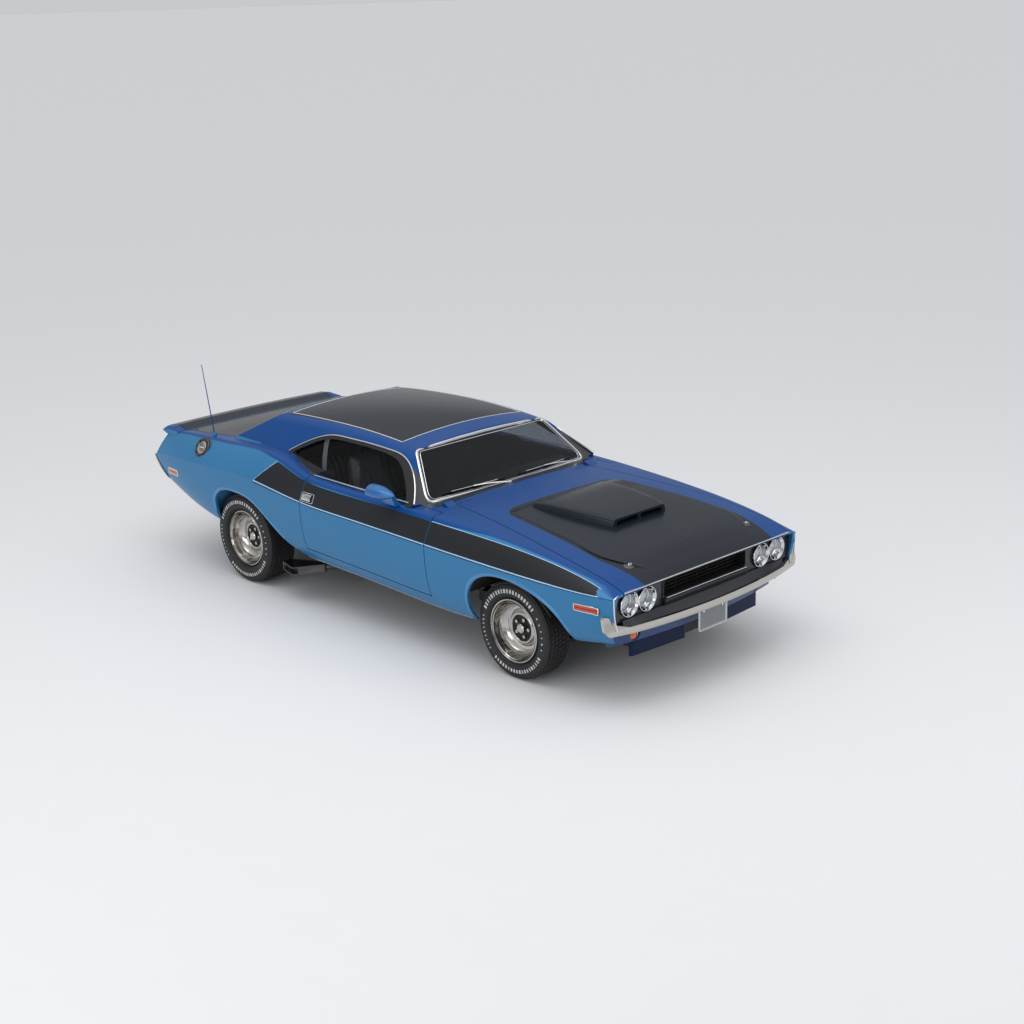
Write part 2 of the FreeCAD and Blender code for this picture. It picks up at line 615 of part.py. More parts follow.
scoop = Part.makeLoft([scoop_section(sx0, 332, SCOOP_TOP - 12, 24),
                       scoop_section(sx0 + 110, 326, SCOOP_TOP, 26),
                       scoop_section(sx0 + 330, 300, SCOOP_TOP - 2, 26),
                       scoop_section(sx1 - 60, 252, SCOOP_TOP - 14, 26),
                       scoop_section(sx1, 236, SCOOP_TOP - 24, 24)], True, False)
scoop_mouth = pair(prism_x([(14, CENTRE_Z(sx1) + 8), (212, CENTRE_Z(sx1) + 4),
                            (208, SCOOP_TOP - 40), (14, SCOOP_TOP - 36)], sx1 - 170, sx1 + 5, 12))
scoop = scoop.cut(scoop_mouth).cut(lid_under)

# The hood's raised middle: a low plateau from ahead of the screen to the nose, with a crease
# along each side and a faint ridge down the middle of its front half.
PLATEAU = [(1096, 452, -3.0, 0.0), (1130, 492, 5.0, 0.0), (1240, 518, 8.0, 0.0),
           (1460, 544, 8.0, 0.0), (1680, 568, 8.0, 0.0), (1860, 586, 8.0, 1.0),
           (2000, 594, 8.0, 3.0), (2120, 560, 7.0, 4.0), (2220, 498, 5.0, 4.0),
           (2310, 420, 1.5, 2.0), (2345, 396, -3.0, 0.0)]
PLATEAU_EDGE = 20.0


def lid_z(x, y):
    """Height of the hood's or deck's surface at x and y."""
    rise = 2 * (CENTRE_Z(x) - TOP_Z(x)) / TOP_Y(x)
    inner, edge_z = TOP_Y(x) - CORNER_R, TOP_Z(x) + CORNER_R * rise
    peak_z = TOP_Z(x) + TOP_Y(x) * rise
    across = (y / inner) ** 2
    return edge_z * (1 + across) / 2 + peak_z * (1 - across) / 2


def plateau_section(x, half, height, ridge):
    top, foot = lid_z(x, half) + height, lid_z(x, half + PLATEAU_EDGE) - 4
    middle = lid_z(x, 0) + height
    corners = [Vec(x, -half - PLATEAU_EDGE, foot), Vec(x, -half, top), Vec(x, half, top),
               Vec(x, half + PLATEAU_EDGE, foot)]
    left = bezier((x, -half, top), (x, -half / 2, middle), (x, 0, middle + ridge))
    right = bezier((x, 0, middle + ridge), (x, half / 2, middle), (x, half, top))
    return Part.Wire([Part.LineSegment(corners[0], corners[1]).toShape(), left.toShape(),
                      right.toShape(), Part.LineSegment(corners[2], corners[3]).toShape(),
                      Part.LineSegment(corners[3], corners[0]).toShape()])


plateau = Part.makeLoft([plateau_section(*row) for row in PLATEAU], True, False)
hood = hood.fuse(plateau.common(hood_outline).cut(lid_under)).fuse(scoop)
save("hood", keep(hood))

# Trunk lid, with the middle of the ducktail standing on its rear edge.
lid = body.common(trunk_outline).cut(lid_under)
save("trunk_lid", keep(lid))

DUCKTAIL = [(SPOILER_X, 2), (SPOILER_X - 96, 34), (X_TAIL + 18, 33), (X_TAIL + 10, 18),
            (X_TAIL + 66, -4), (SPOILER_X, -4)]


def deck_z(x, y):
    """Height of the deck at x and y."""
    ys = TOP_Y(x)
    return TOP_Z(x) + (CENTRE_Z(x) - TOP_Z(x)) * (1 - (abs(y) / ys) ** 2) * 1.02


def ducktail_wire(y, scale, low):
    pts = []
    for x, dz in DUCKTAIL:
        z = deck_z(x, y) + dz * scale if dz > 0 else low
        pts.append(Vec(x, y, z))
    return rounded(pts, [0, 30, 8, 6, 0, 0])


tail_low = 930.0
half_lid = TRUNK_Y(X_TAIL + 100)
ducktail = Part.makeLoft([ducktail_wire(half_lid * (i - 4) / 4, 1.0, tail_low)
                          for i in range(9)], True, False)
ducktail = ducktail.cut(body.common(trunk_outline)).cut(lid_under)
ducktail = ducktail.common(box(X_TAIL - 5, SPOILER_X + 5, -900, 900, 940, 1100))
save("spoiler", keep(ducktail))
end = Part.makeLoft([ducktail_wire(half_lid + GAP, 1.0, tail_low),
                     ducktail_wire(half_lid + 45, 0.9, tail_low),
                     ducktail_wire(half_lid + 84, 0.4, tail_low)], True, False)
end = end.cut(body)
end = end.common(box(X_TAIL - 5, SPOILER_X + 5, 0, 900, 930, 1100))
save("spoiler_ends", sides(keep(end)))

# Doors: the whole thickness between sill and belt, with a slot for the glass.
door = body.common(box(DOOR_REAR, DOOR_FRONT, DOOR_IN, 1100, 100, 1100))
door = door.cut(under_line(SILL_Z, SILL_DEPTH + GAP, 600, DOOR_REAR - 60, DOOR_FRONT + 60))
GLASS_IN = 12.0
glass_slot = house_loft(GLASS_IN - 1).cut(house_loft(GLASS_IN + GLASS_T + 1))
slot = glass_slot.common(box(DOOR_REAR + 10, F - 930, 700, 900, GLASS_FOOT, 1000))
door = keep(door.cut(slot))
save("door_left", door)
save("door_right", mirror_y(door))

glass_layer = house_loft(GLASS_IN).cut(house_loft(GLASS_IN + GLASS_T))
glass_area = window_prism(600, 1000, 9.0).fuse(
    prism_y([(DOOR_REAR + 14, GLASS_FOOT), (F - 968, GLASS_FOOT), (F - 980, DOOR_TOP + 8),
             (DOOR_REAR + 14, DOOR_TOP + 8)], 600, 1000))
door_glass = keep(glass_layer.common(glass_area))
save("door_glass_left", door_glass)
save("door_glass_right", mirror_y(door_glass))

# Door mirror, on the right-hand door alone: a teardrop on a short foot.
MIRROR = (F - 1115.0, 952.0, 1018.0)


def mirror_section(dx, ry, rz):
    x = MIRROR[0] + dx
    points = []
    for i in range(12):
        turn = 2 * math.pi * i / 12
        points.append(Vec(x, MIRROR[1] + ry * math.cos(turn), MIRROR[2] + rz * math.sin(turn)))
    ring = Part.BSplineCurve()
    ring.interpolate(points, PeriodicFlag=True)
    return Part.Wire([ring.toShape()])


pod = Part.makeLoft([mirror_section(-80, 62, 44), mirror_section(-40, 64, 46),
                     mirror_section(20, 58, 42), mirror_section(80, 40, 29),
                     mirror_section(125, 18, 13), mirror_section(140, 4, 3)], True, False)
mirror_foot = prism_x([(858, 928), (905, 928), (938, 1010), (905, 1010)], MIRROR[0] - 20,
                      MIRROR[0] + 90, 6)
mirror_body = pod.fuse(mirror_foot).cut(body)
save("mirror_right", mirror_y(keep(mirror_body)))

# Floor pan with the tunnel, the hump over the axle and the raised trunk floor.
cabin_floor = box(R + 160, F - 815, -718, 718, FLOOR_Z, FLOOR_Z + FLOOR_T)
TUNNEL = [(-168, 0), (-132, 1), (132, 1), (168, 0)]
TUNNEL_RUN = [(F - 815, 205), (F - 1500, 165), (R + 150, 146)]


def tunnel(grow, low=0.0):
    """The tunnel's shape along its run, grown outwards, with its foot lowered."""
    def wire(x, h):
        pts = [Vec(x, y + (grow if y > 0 else -grow), FLOOR_Z + (h + grow if up else -low))
               for y, up in TUNNEL]
        return rounded(pts, [0, 30, 30, 0])
    return Part.makeLoft([wire(x, h) for x, h in TUNNEL_RUN], True, True)


def hump(grow, low=0.0):
    half, top = HUMP_HALF + grow, HUMP_TOP + grow
    return prism_x([(-half, FLOOR_Z - low), (-half + 20, top), (half - 20, top),
                    (half, FLOOR_Z - low)], R - 172 - grow, R + 150 + grow, 30)


kick = box(R + 136, R + 160, -TRUNK_HALF + 2, TRUNK_HALF - 2, FLOOR_Z, TRUNK_FLOOR)
trunk_floor = box(X_TAIL + 192, R + 160, -TRUNK_HALF + 2, TRUNK_HALF - 2, TRUNK_FLOOR - FLOOR_T,
                  TRUNK_FLOOR)
floor = fuse([cabin_floor, tunnel(0), kick, trunk_floor, hump(0)])
floor = floor.cut(tunnel(-FLOOR_T, 20)).cut(hump(-FLOOR_T, 20))
floor = floor.cut(pair(rear_well)).cut(box(R - 60, R + 60, -200, 200, 250, 385))
floor = floor.cut(box(R + 100, R + 200, -HUMP_HALF + FLOOR_T + 8, HUMP_HALF - FLOOR_T - 8, 200,
                      FLOOR_Z + 120))
save("floor_pan", keep(floor))

# Cowl: the panel ahead of the windshield with the firewall under it, open over the tunnel.
cowl = skin.common(box(F - 920, HOOD_REAR - GAP, -734, 734, 800, 1000)).cut(house)
firewall = box(F - 840, F - 815, -718, 718, FLOOR_Z + FLOOR_T, 922).common(body)
tunnel_mouth = prism_x([(y * 1.1, FLOOR_Z + (TUNNEL_RUN[0][1] + 3 if up else 0))
                        for y, up in TUNNEL], F - 900, F - 800, 30)
cowl = keep(cowl.fuse(firewall).cut(tunnel_mouth))
save("cowl", cowl)

# Nose: a flat panel round the lamps with the deep grille box let into its middle.
NOSE_WALL = 8.0
gx = FACE_X
face = box(gx - 12, gx, -900, 900, FACE_LOW, FACE_TOP).common(skin_in)


def grille_frame(inset, x0, x1):
    half, low, high = GRILLE_HALF - inset, GRILLE_LOW + inset, GRILLE_HIGH - inset
    return prism_x([(-half, low), (half, low), (half, high), (-half, high)], x0, x1, 16)


recess = grille_frame(-NOSE_WALL, gx - GRILLE_DEPTH, gx + 6)
recess_room = grille_frame(0, gx - GRILLE_DEPTH - 5, gx + 10)
BAR_PITCH = 21.0
BAR_T = 5.0
bar_x = gx - GRILLE_DEPTH
bars = []
z = GRILLE_LOW + BAR_PITCH / 2 + 3
while z < GRILLE_HIGH - BAR_PITCH / 2:
    bars.append(box(bar_x, bar_x + 22, -GRILLE_HALF - 4, GRILLE_HALF + 4, z, z + BAR_T))
    z += BAR_PITCH
for k in range(-3, 4):
    bars.append(box(bar_x, bar_x + 12, k * 100 - 3, k * 100 + 3, GRILLE_LOW - 4, GRILLE_HIGH + 4))
grille = face.fuse(recess).cut(recess_room)
lip = prism_y([(gx, FACE_LOW + 6), (gx + 22, FACE_LOW + 6), (gx + 28, FACE_LOW + 30),
               (gx + 22, GRILLE_LOW - 8), (gx, GRILLE_LOW - 6)], -GRILLE_HALF - 4, GRILLE_HALF + 4, 4)
grille = fuse([grille, lip] + bars)
LAMPS = [(OUTER_LAMP_Y, LAMP_Z), (INNER_LAMP_Y, LAMP_Z - 7)]
for y, z in LAMPS:
    for side in (-1, 1):
        grille = grille.cut(cylinder((gx - 40, side * y, z), (1, 0, 0), LAMP_R + FIT, 100))
save("grille", keep(grille))

LAMP_DEPTH = 62.0
BOWL_T = 4.0
LENS_DOME = 14.0


def lamp(y, z):
    """A deep bright bowl with a flared rim, closed by a domed lens set back inside it."""
    bowl = cylinder((gx - LAMP_DEPTH, y, z), (1, 0, 0), LAMP_R, LAMP_DEPTH + 12)
    flare = Part.makeCone(LAMP_R + 2, LAMP_R + 9, 15, Vec(gx + 0.5, y, z), Vec(1, 0, 0))
    hollow = cylinder((gx - LAMP_DEPTH + 16, y, z), (1, 0, 0), LAMP_R - BOWL_T, LAMP_DEPTH).fuse(
        Part.makeCone(LAMP_R - BOWL_T, LAMP_R + 5, 14, Vec(gx + 2, y, z), Vec(1, 0, 0)))
    dome_r = (LAMP_R ** 2 + LENS_DOME ** 2) / (2 * LENS_DOME)
    mid = gx - LAMP_DEPTH + 14 + LENS_DOME - dome_r
    dome = Part.makeSphere(dome_r, Vec(mid, y, z)).common(
        cylinder((gx - LAMP_DEPTH + 4, y, z), (1, 0, 0), LAMP_R - BOWL_T, LAMP_DEPTH))
    return bowl.fuse(flare).cut(hollow).fuse(dome)


lamps = []
for y, z in LAMPS:
    lamps += [lamp(y, z), lamp(-y, z)]
save("headlamps", Part.makeCompound(lamps))

# Front bumper: a slim bowed blade with upturned ends, turned about a far upright line.
bow_r = (BUMPER_HALF ** 2 + BUMPER_SWEEP ** 2) / (2 * BUMPER_SWEEP)
bow_x = X_NOSE - bow_r


def bowed(outline, half=BUMPER_HALF + 10):
    """A bar whose (depth behind the bumper's face, height) outline follows the bumper's bow."""
    wire = rounded([Vec(X_NOSE - d, 0, z) for d, z in outline], 0)
    turn = math.degrees(math.asin(half / bow_r))
    centre = Vec(bow_x, 0, 0)
    bar = Part.Face(wire)
    bar.rotate(centre, Vec(0, 0, 1), -turn)
    return bar.revolve(centre, Vec(0, 0, 1), 2 * turn)


blade = bowed([(14, 470), (3, 486), (0, 503), (4, 526), (15, 580), (25, 640), (25 + BUMPER_T, 640),
               (15 + BUMPER_T, 580), (BUMPER_T, 503), (12 + BUMPER_T, 470)])
BLADE_LOW = [(-BUMPER_HALF, 532), (-880, 494), (-600, BUMPER_LOW), (600, BUMPER_LOW), (880, 494),
             (BUMPER_HALF, 532)]
BLADE_TOP = [(BUMPER_HALF, 606), (898, 618), (868, 610), (822, 556), (730, BUMPER_TOP + 4),
             (-730, BUMPER_TOP + 4), (-822, 556), (-868, 610), (-898, 618), (-BUMPER_HALF, 606)]
blade = blade.common(prism_x(BLADE_LOW + BLADE_TOP, X_NOSE - 260, X_NOSE + 20, 14)).cut(body)
BRACE_X = LIP_X - 162.0
irons = [box(BRACE_X, X_NOSE - 30, side * 370 - 22, side * 370 + 22, 492, 512)
         for side in (-1, 1)]
save("front_bumper", keep(blade.fuse(irons[0]).fuse(irons[1])))

# Valance: the sloping filler above the bumper, the apron behind it and two chin spoilers.
nose_room = lower_body(NOSE_END + 60, F - 100, SKIN + 1, 200.0)


def filler_section(y):
    """The filler's slanted section at y: a straight upper edge, and a lower one that is bowed."""
    foot = bow_x + math.sqrt(bow_r ** 2 - y ** 2) - BUMPER_T - 3
    corners = [(gx + FIT, FACE_LOW + 4), (gx + 14, FACE_LOW + 5), (foot, BUMPER_LOW + 24),
               (foot - 14, BUMPER_LOW + 16)]
    return Part.makePolygon([Vec(x, y, z) for x, z in corners + corners[:1]])


filler = Part.makeLoft([filler_section(y) for y in range(-760, 761, 190)], True, False)
apron_face = bowed([(136, 370), (116, BUMPER_LOW + 6), (BUMPER_T + 10, BUMPER_LOW + 6),
                    (BUMPER_T + 10, BUMPER_LOW + 24), (144, BUMPER_LOW + 24), (164, 370)],
                   860).common(nose_room)
chin = prism_z([(LIP_X - 98, 112), (LIP_X - 74, 150), (LIP_X - 104, 590), (LIP_X - 120, 606),
                (LIP_X - 138, 590), (LIP_X - 108, 150)], 274, 392, 8)
valance = fuse([apron_face, filler, chin, mirror_y(chin)]).cut(fender).cut(mirror_y(fender))
turn_hole = [cylinder((LIP_X - 160, side * TURN_LAMP_Y, TURN_LAMP_Z), (1, 0, 0), 38 + FIT, 90)
             for side in (-1, 1)]
for piece in irons + turn_hole:
    valance = valance.cut(piece)
save("front_valance", keep(valance))


def turn_lamp(side):
    """A round lamp sunk in the apron, with a domed lens."""
    can = cylinder((LIP_X - 156, side * TURN_LAMP_Y, TURN_LAMP_Z), (1, 0, 0), 38, 40)
    return can.fuse(Part.makeCone(38, 26, 12, Vec(LIP_X - 116, side * TURN_LAMP_Y, TURN_LAMP_Z),
                                  Vec(1, 0, 0)))


save("turn_lamps", Part.makeCompound([turn_lamp(1), turn_lamp(-1)]))

# Number-plate bracket: a bent strap under the bumper, with the two usual holes.
bracket = box(PLATE_X, PLATE_X + 3, -PLATE_HALF + 8, PLATE_HALF - 8, PLATE_LOW + 10, BUMPER_LOW - 6)
bracket = bracket.fuse(box(PLATE_X - 30, PLATE_X + 3, -60, 60, BUMPER_LOW - 9, BUMPER_LOW - 6))
bracket = bracket.cut(pair(cylinder((PLATE_X - 5, PLATE_HOLE_PITCH / 2, BUMPER_LOW - 30), (1, 0, 0),
                                    PLATE_HOLE_R, 20)))
save("plate_bracket", keep(bracket))

# Marker lamps on the flanks.
marker_front = prism_y([(F + 580, 617), (F + 757, 617), (F + 757, 658), (F + 580, 658)],
                       700, 1000, 8)
marker_rear = prism_y([(R - 902, 668), (R - 760, 668), (R - 760, 713), (R - 902, 713)],
                      700, 1000, 8)
flush = lower_body(NOSE_END, TAIL_END, -4, 0)
marker_f = marker_front.common(flush).cut(body)
marker_r = marker_rear.common(flush).cut(body)
lamps_side = [keep(marker_f), keep(marker_r)]
save("side_markers", Part.makeCompound(lamps_side + [mirror_y(lens) for lens in lamps_side]))

# Tail: lenses in the tail panel, and the bumper that follows the slope under them.
lenses = [outline.common(tail_layer(LENS_SINK, LENS_SINK + LENS_T)) for outline in lamp_outlines()]
save("tail_lamps", Part.makeCompound([keep(lens) for lens in lenses]))

REAR_BUMPER_TOP = 778.0
REAR_BUMPER_LOW = 586.0
REAR_BUMPER_HALF = 912.0
slope = (TAIL_LINE[3][0] - TAIL_LINE[2][0]) / (TAIL_LINE[2][1] - TAIL_LINE[3][1])


def tail_face(z, depth):
    """A point on the tail's lower slope at height z, depth behind it."""
    return TAIL_LINE[2][0] + slope * (TAIL_LINE[2][1] - z) - depth, z


rear_blade = prism_y([tail_face(REAR_BUMPER_TOP, -1), tail_face(REAR_BUMPER_TOP, 20),
                      tail_face(700, 27), tail_face(REAR_BUMPER_LOW, 22),
                      tail_face(REAR_BUMPER_LOW, -1)], -REAR_BUMPER_HALF, REAR_BUMPER_HALF, 5)
rear_outline = prism_x([(-REAR_BUMPER_HALF, 690), (-860, REAR_BUMPER_LOW + 14),
                        (-300, REAR_BUMPER_LOW), (300, REAR_BUMPER_LOW), (860, REAR_BUMPER_LOW + 14),
                        (REAR_BUMPER_HALF, 690), (900, REAR_BUMPER_TOP), (-900, REAR_BUMPER_TOP)],
                       X_TAIL - 20, X_TAIL + 300, 18)
rear_blade = rear_blade.common(rear_outline).common(
    lower_body(X_TAIL + 400, X_TAIL - 20, -10, 60)).cut(body)
save("rear_bumper", keep(rear_blade))

# Inner fenders: aprons beside the engine, roofs over the front wheels, the radiator's panel.
apron = box(post_x + 46, LIP_X - 140, WELL_IN - 26, WELL_IN - 2, 420, 850)
wheel_roof = cylinder((X_FRONT, WELL_IN - 2, FRONT_TYRE_R), (0, 1, 0), FRONT_WELL_R + 8, 450).cut(
    cylinder((X_FRONT, WELL_IN - 40, FRONT_TYRE_R), (0, 1, 0), FRONT_WELL_R, 500))
wheel_roof = wheel_roof.common(box(X_FRONT - 500, X_FRONT + 500, 0, 1100, 500, 860))
apron = apron.fuse(wheel_roof).cut(cylinder((X_FRONT, WELL_IN + 20, FRONT_TYRE_R), (0, 1, 0),
                                            FRONT_WELL_R, 500))
apron = apron.cut(box(X_FRONT - 160, X_FRONT + 160, 400, 480, 380, 560))
lean = lower_body(NOSE_END + 60, TAIL_END - 60, 34, 0)
apron = keep(apron.common(lean).cut(hood_opening.cut(lower_body(
    NOSE_END + 60, TAIL_END - 60, 44, 300))))
radiator_panel = box(LIP_X - 190, LIP_X - 165, -WELL_IN + 28, WELL_IN - 28, 330, 800).cut(
    box(LIP_X - 200, LIP_X - 150, -330, 330, 380, 740))
inner = apron.fuse(mirror_y(apron)).fuse(radiator_panel.fuse(
    box(LIP_X - 190, LIP_X - 165, -WELL_IN + 2, WELL_IN - 2, 430, 500)))
inner = inner.cut(box(LIP_X - 200, LIP_X - 150, -330, 330, 380, 740))
save("inner_fenders", keep(inner))

# Engine as one block, and the gearbox and shaft behind it.
engine = prism_x([(-110, 262), (110, 262), (160, 420), (300, 640), (270, 800), (-270, 800),
                  (-300, 640), (-160, 420)], F - 640, F + 60, 20)
save("engine_block", engine)
SHAFT_Z = 366.0
gearbox = Part.makeCone(150, 96, 150, Vec(F - 642, 0, SHAFT_Z), Vec(-1, 0, 0)).fuse(
    Part.makeCone(94, 84, 340, Vec(F - 790, 0, SHAFT_Z), Vec(-1, 0, 0))).fuse(
    Part.makeCone(62, 46, 240, Vec(F - 1128, 0, SHAFT_Z), Vec(-1, 0, 0)))
shaft_start = Vec(F - 1364, 0, SHAFT_Z)
shaft_end = Vec(R + 176, 0, REAR_TYRE_R)
run = shaft_end.sub(shaft_start)
prop = Part.makeCylinder(38, run.Length, shaft_start, run)
save("drivetrain", keep(gearbox.fuse(prop)))


def pipe(points, radius, bend):
    """A round pipe along a path with bends."""
    stops = [Vec(*point) for point in points]
    edges = []
    last = stops[0]
    for before, stop, after in zip(stops, stops[1:], stops[2:]):
        back, ahead = before.sub(stop), after.sub(stop)
        room = 0.45 * min(back.Length, ahead.Length)
        back.normalize()
        ahead.normalize()
        half = back.getAngle(ahead) / 2
        cut = min(bend / math.tan(half), room)
        bend_r = cut * math.tan(half)
        middle = back.add(ahead)
        middle.normalize()
        centre = stop.add(middle.multiply(bend_r / math.sin(half)))
        outward = stop.sub(centre)
        outward.normalize()
        start, end = stop.add(back.multiply(cut)), stop.add(ahead.multiply(cut))
        edges.append(Part.LineSegment(last, start).toShape())
        edges.append(Part.Arc(start, centre.add(outward.multiply(bend_r)), end).toShape())
        last = end
    edges.append(Part.LineSegment(last, stops[-1]).toShape())
    ring = Part.Wire([Part.Circle(stops[0], stops[1].sub(stops[0]), radius).toShape()])
    return Part.Wire(edges).makePipeShell([ring], True, True)


PIPE_R = 26.0
PIPE_Z = 240.0
TIP_HALF_H = 29.0
TIP_PLAN = [(R + 740, 700), (R + 484, 830), (R + 477, 901), (R + 654, 948), (R + 770, 740)]
MOUTH_PLAN = [(R + 515, 870), (R + 470, 960), (R + 700, 990), (R + 672, 905)]


def exhaust_side():
    """One pipe from the engine to a flattened tip ahead of the rear wheel, with its muffler."""
    path = [(F - 500, 250, 250), (F - 760, 250, 232), (F - 1600, 330, 232), (R + 840, 520, 234),
            (R + 755, 690, PIPE_Z), (R + 700, 770, PIPE_Z)]
    tube = pipe(path, PIPE_R, 60)
    muffler = prism_x([(250, 190), (430, 190), (430, 278), (250, 278)], F - 1560, F - 2060, 40)
    tip = prism_z(TIP_PLAN, PIPE_Z - TIP_HALF_H, PIPE_Z + TIP_HALF_H, 16).cut(
        prism_z(MOUTH_PLAN, PIPE_Z - TIP_HALF_H + 7, PIPE_Z + TIP_HALF_H - 7, 8))
    return tube.fuse(muffler).fuse(tip)


save("exhaust", sides(keep(exhaust_side())))

# Rear axle with its drums and leaf springs.
axle_z = REAR_TYRE_R
SHAFT_R = 19.0
tube_end = REAR_TRACK / 2 - 84
parts = [cylinder((R, -tube_end, axle_z), (0, 1, 0), 40, 2 * tube_end),
         Part.makeSphere(122, Vec(R, 0, axle_z)),
         cylinder((R + 60, 0, axle_z), (1, 0, 0), 58, 110),
         cylinder((R, -REAR_TRACK / 2 + 14, axle_z), (0, 1, 0), SHAFT_R, REAR_TRACK - 28)]
axle = fuse(parts)
LEAF_T = 22.0


def leaf(y):
    """A leaf spring under the axle, with its perch, front hanger and rear shackle."""
    top_line = [Vec(R + 640, y - 32, 280), Vec(R + 300, y - 32, 262), Vec(R, y - 32, 262),
                Vec(R - 350, y - 32, 282), Vec(R - 700, y - 32, 346)]
    low_line = [Vec(v.x, v.y, v.z - LEAF_T) for v in reversed(top_line)]
    top, low = Part.BSplineCurve(), Part.BSplineCurve()
    top.interpolate(top_line)
    low.interpolate(low_line)
    ends = [Part.LineSegment(top_line[-1], low_line[0]).toShape(),
            Part.LineSegment(low_line[-1], top_line[0]).toShape()]
    face = Part.Face(Part.Wire([top.toShape(), ends[0], low.toShape(), ends[1]]))
    spring = face.extrude(Vec(0, 64, 0))
    perch = box(R - 60, R + 60, y - 34, y + 34, 232, axle_z)
    shackle = box(R - 700, R - 672, y - 32, y + 32, 326, TRUNK_FLOOR - FLOOR_T)
    hanger = box(R + 604, R + 640, y - 32, y + 32, 262, FLOOR_Z)
    return spring.fuse(perch).fuse(shackle).fuse(hanger)


axle = axle.fuse(leaf(540)).fuse(leaf(-540))
save("rear_axle", keep(axle))

tank = prism_y([(R - 480, 252), (R - 860, 292), (R - 860, TRUNK_FLOOR - FLOOR_T - 2),
                (R - 480, TRUNK_FLOOR - FLOOR_T - 2)], -400, 400, 30)
save("fuel_tank", tank)

# Front suspension: the subframe, its crossmember, arms and springs.
ARM_LOW, ARM_HIGH = FRONT_TYRE_R - 140, FRONT_TYRE_R + 132
rails = prism_y([(F - 790, 212), (F - 560, 196), (F + 700, 236), (F + 700, 320), (F - 560, 280),
                 (F - 790, 288)], 330, 410, 20)
cross = prism_x([(-420, 150), (420, 150), (420, 240), (-420, 240)], F - 90, F + 90, 16)
tower = box(F - 70, F + 70, 350, 430, 230, 470)
front_cross = box(F + 620, F + 690, -340, 340, 246, 306)


def arm(z, reach):
    outline = [(F - 150, 400), (F + 150, 400), (F + 30, reach), (F - 30, reach)]
    return prism_z(outline, z - 14, z + 14, 14)


corner_parts = rails.fuse(tower).fuse(arm(ARM_LOW, KINGPIN_Y - 4)).fuse(
    arm(ARM_HIGH, KINGPIN_Y - 30))
suspension = cross.fuse(front_cross).fuse(corner_parts).fuse(mirror_y(corner_parts))
save("front_suspension", keep(suspension))

# Steering knuckle: an upright between the two ball joints, with its spindle and arm.
UP_LOW, UP_HIGH = ARM_LOW + 14 + 1, ARM_HIGH - 14 - 1


def knuckle():
    z = FRONT_TYRE_R
    upright = prism_x([(KINGPIN_Y - 34, UP_LOW), (KINGPIN_Y + 8, UP_LOW),
                       (KINGPIN_Y + 8, z + 40), (KINGPIN_Y - 22, UP_HIGH),
                       (KINGPIN_Y - 46, UP_HIGH), (KINGPIN_Y - 34, z)], F - 24, F + 24, 5)
    spindle = cylinder((F, KINGPIN_Y - 10, z), (0, 1, 0), SHAFT_R, FRONT_TRACK / 2 - KINGPIN_Y + 8)
    hand = prism_z([(F - 10, KINGPIN_Y - 30), (F - 10, KINGPIN_Y), (F + 130, KINGPIN_Y - 26),
                    (F + 130, KINGPIN_Y - 50)], z - 96, z - 76, 6)
    return upright.fuse(spindle).fuse(hand)


left_knuckle = keep(knuckle())
save("knuckle_left", left_knuckle)
save("knuckle_right", mirror_y(left_knuckle))


# Wheels: a deep dished rim with a small raised centre, drum and hub, and the tyre round it.
BEAD_HALF = 84.0
NUT_CIRCLE_R = 57.0
NUTS = 5
DRUM_R = 140.0
HUB_BORE_R = 24.0


def tyre(radius, width, centre):
    wall = width / 2
    half = [(RIM_R + FIT, -78), (RIM_R + FIT, 78), (RIM_FLANGE_R + 3, BEAD_HALF),
            (RIM_FLANGE_R + 14, wall - 8), (radius - 72, wall), (radius - 44, wall - 4),
            (radius - 16, wall - 16), (radius - 5, wall - 32), (radius, wall - 58)]
    return turned(half + [(r, -y) for r, y in reversed(half[2:])], centre)


def rim(centre):
    """The left wheel's rim; its outer side faces +Y. The deep face sits on the wheel's middle."""
    deep = 92 - RIM_SINK
    dish = turned([(RIM_R, -BEAD_HALF), (RIM_R, BEAD_HALF), (RIM_FLANGE_R, 90), (205, 97), (198, 99),
                   (194, 94), (190, 94), (187, 98), (183, 93), (178, 62), (171, 38), (158, 18),
                   (141, deep - 9), (124, deep - 12), (119, deep - 8), (102, deep + 9),
                   (97, deep + 12), (88, deep + 12), (85, deep + 8), (82, deep - 6),
                   (HUB_BORE_R, deep - 6), (HUB_BORE_R, deep - 16), (122, deep - 20),
                   (142, deep - 17), (162, deep - 6), (176, 24), (188, 50), (188, -92),
                   (203, -97), (RIM_FLANGE_R, -90)], centre)
    cap = turned([(0, deep + 30), (22, deep + 30), (31, deep + 22), (31, deep - 7), (0, deep - 7)],
                 centre)
    drum = turned([(26, deep - 15), (26, -50), (DRUM_R - 4, -50), (DRUM_R, -46), (DRUM_R, -18),
                   (DRUM_R - 6, -14), (64, -14), (60, deep - 15)], centre)
    nuts = []
    for i in range(NUTS):
        turn = 2 * math.pi * i / NUTS
        foot = Vec(centre[0] + NUT_CIRCLE_R * math.cos(turn), centre[1] + deep - 7,
                   centre[2] + NUT_CIRCLE_R * math.sin(turn))
        nuts.append(Part.makeCylinder(11, 18, foot, Vec(0, 1, 0)))
    return fuse([dish, cap, drum] + nuts)


for name, x, track, radius, width in (("front", X_FRONT, FRONT_TRACK, FRONT_TYRE_R, FRONT_TYRE_W),
                                      ("rear", X_REAR, REAR_TRACK, REAR_TYRE_R, REAR_TYRE_W)):
    centre = (x, track / 2, radius)
    left_tyre, left_rim = tyre(radius, width, centre), rim(centre)
    save("tyre_" + name + "_left", left_tyre)
    save("rim_" + name + "_left", left_rim)
    save("tyre_" + name + "_right", mirror_y(left_tyre))
    save("rim_" + name + "_right", mirror_y(left_rim))

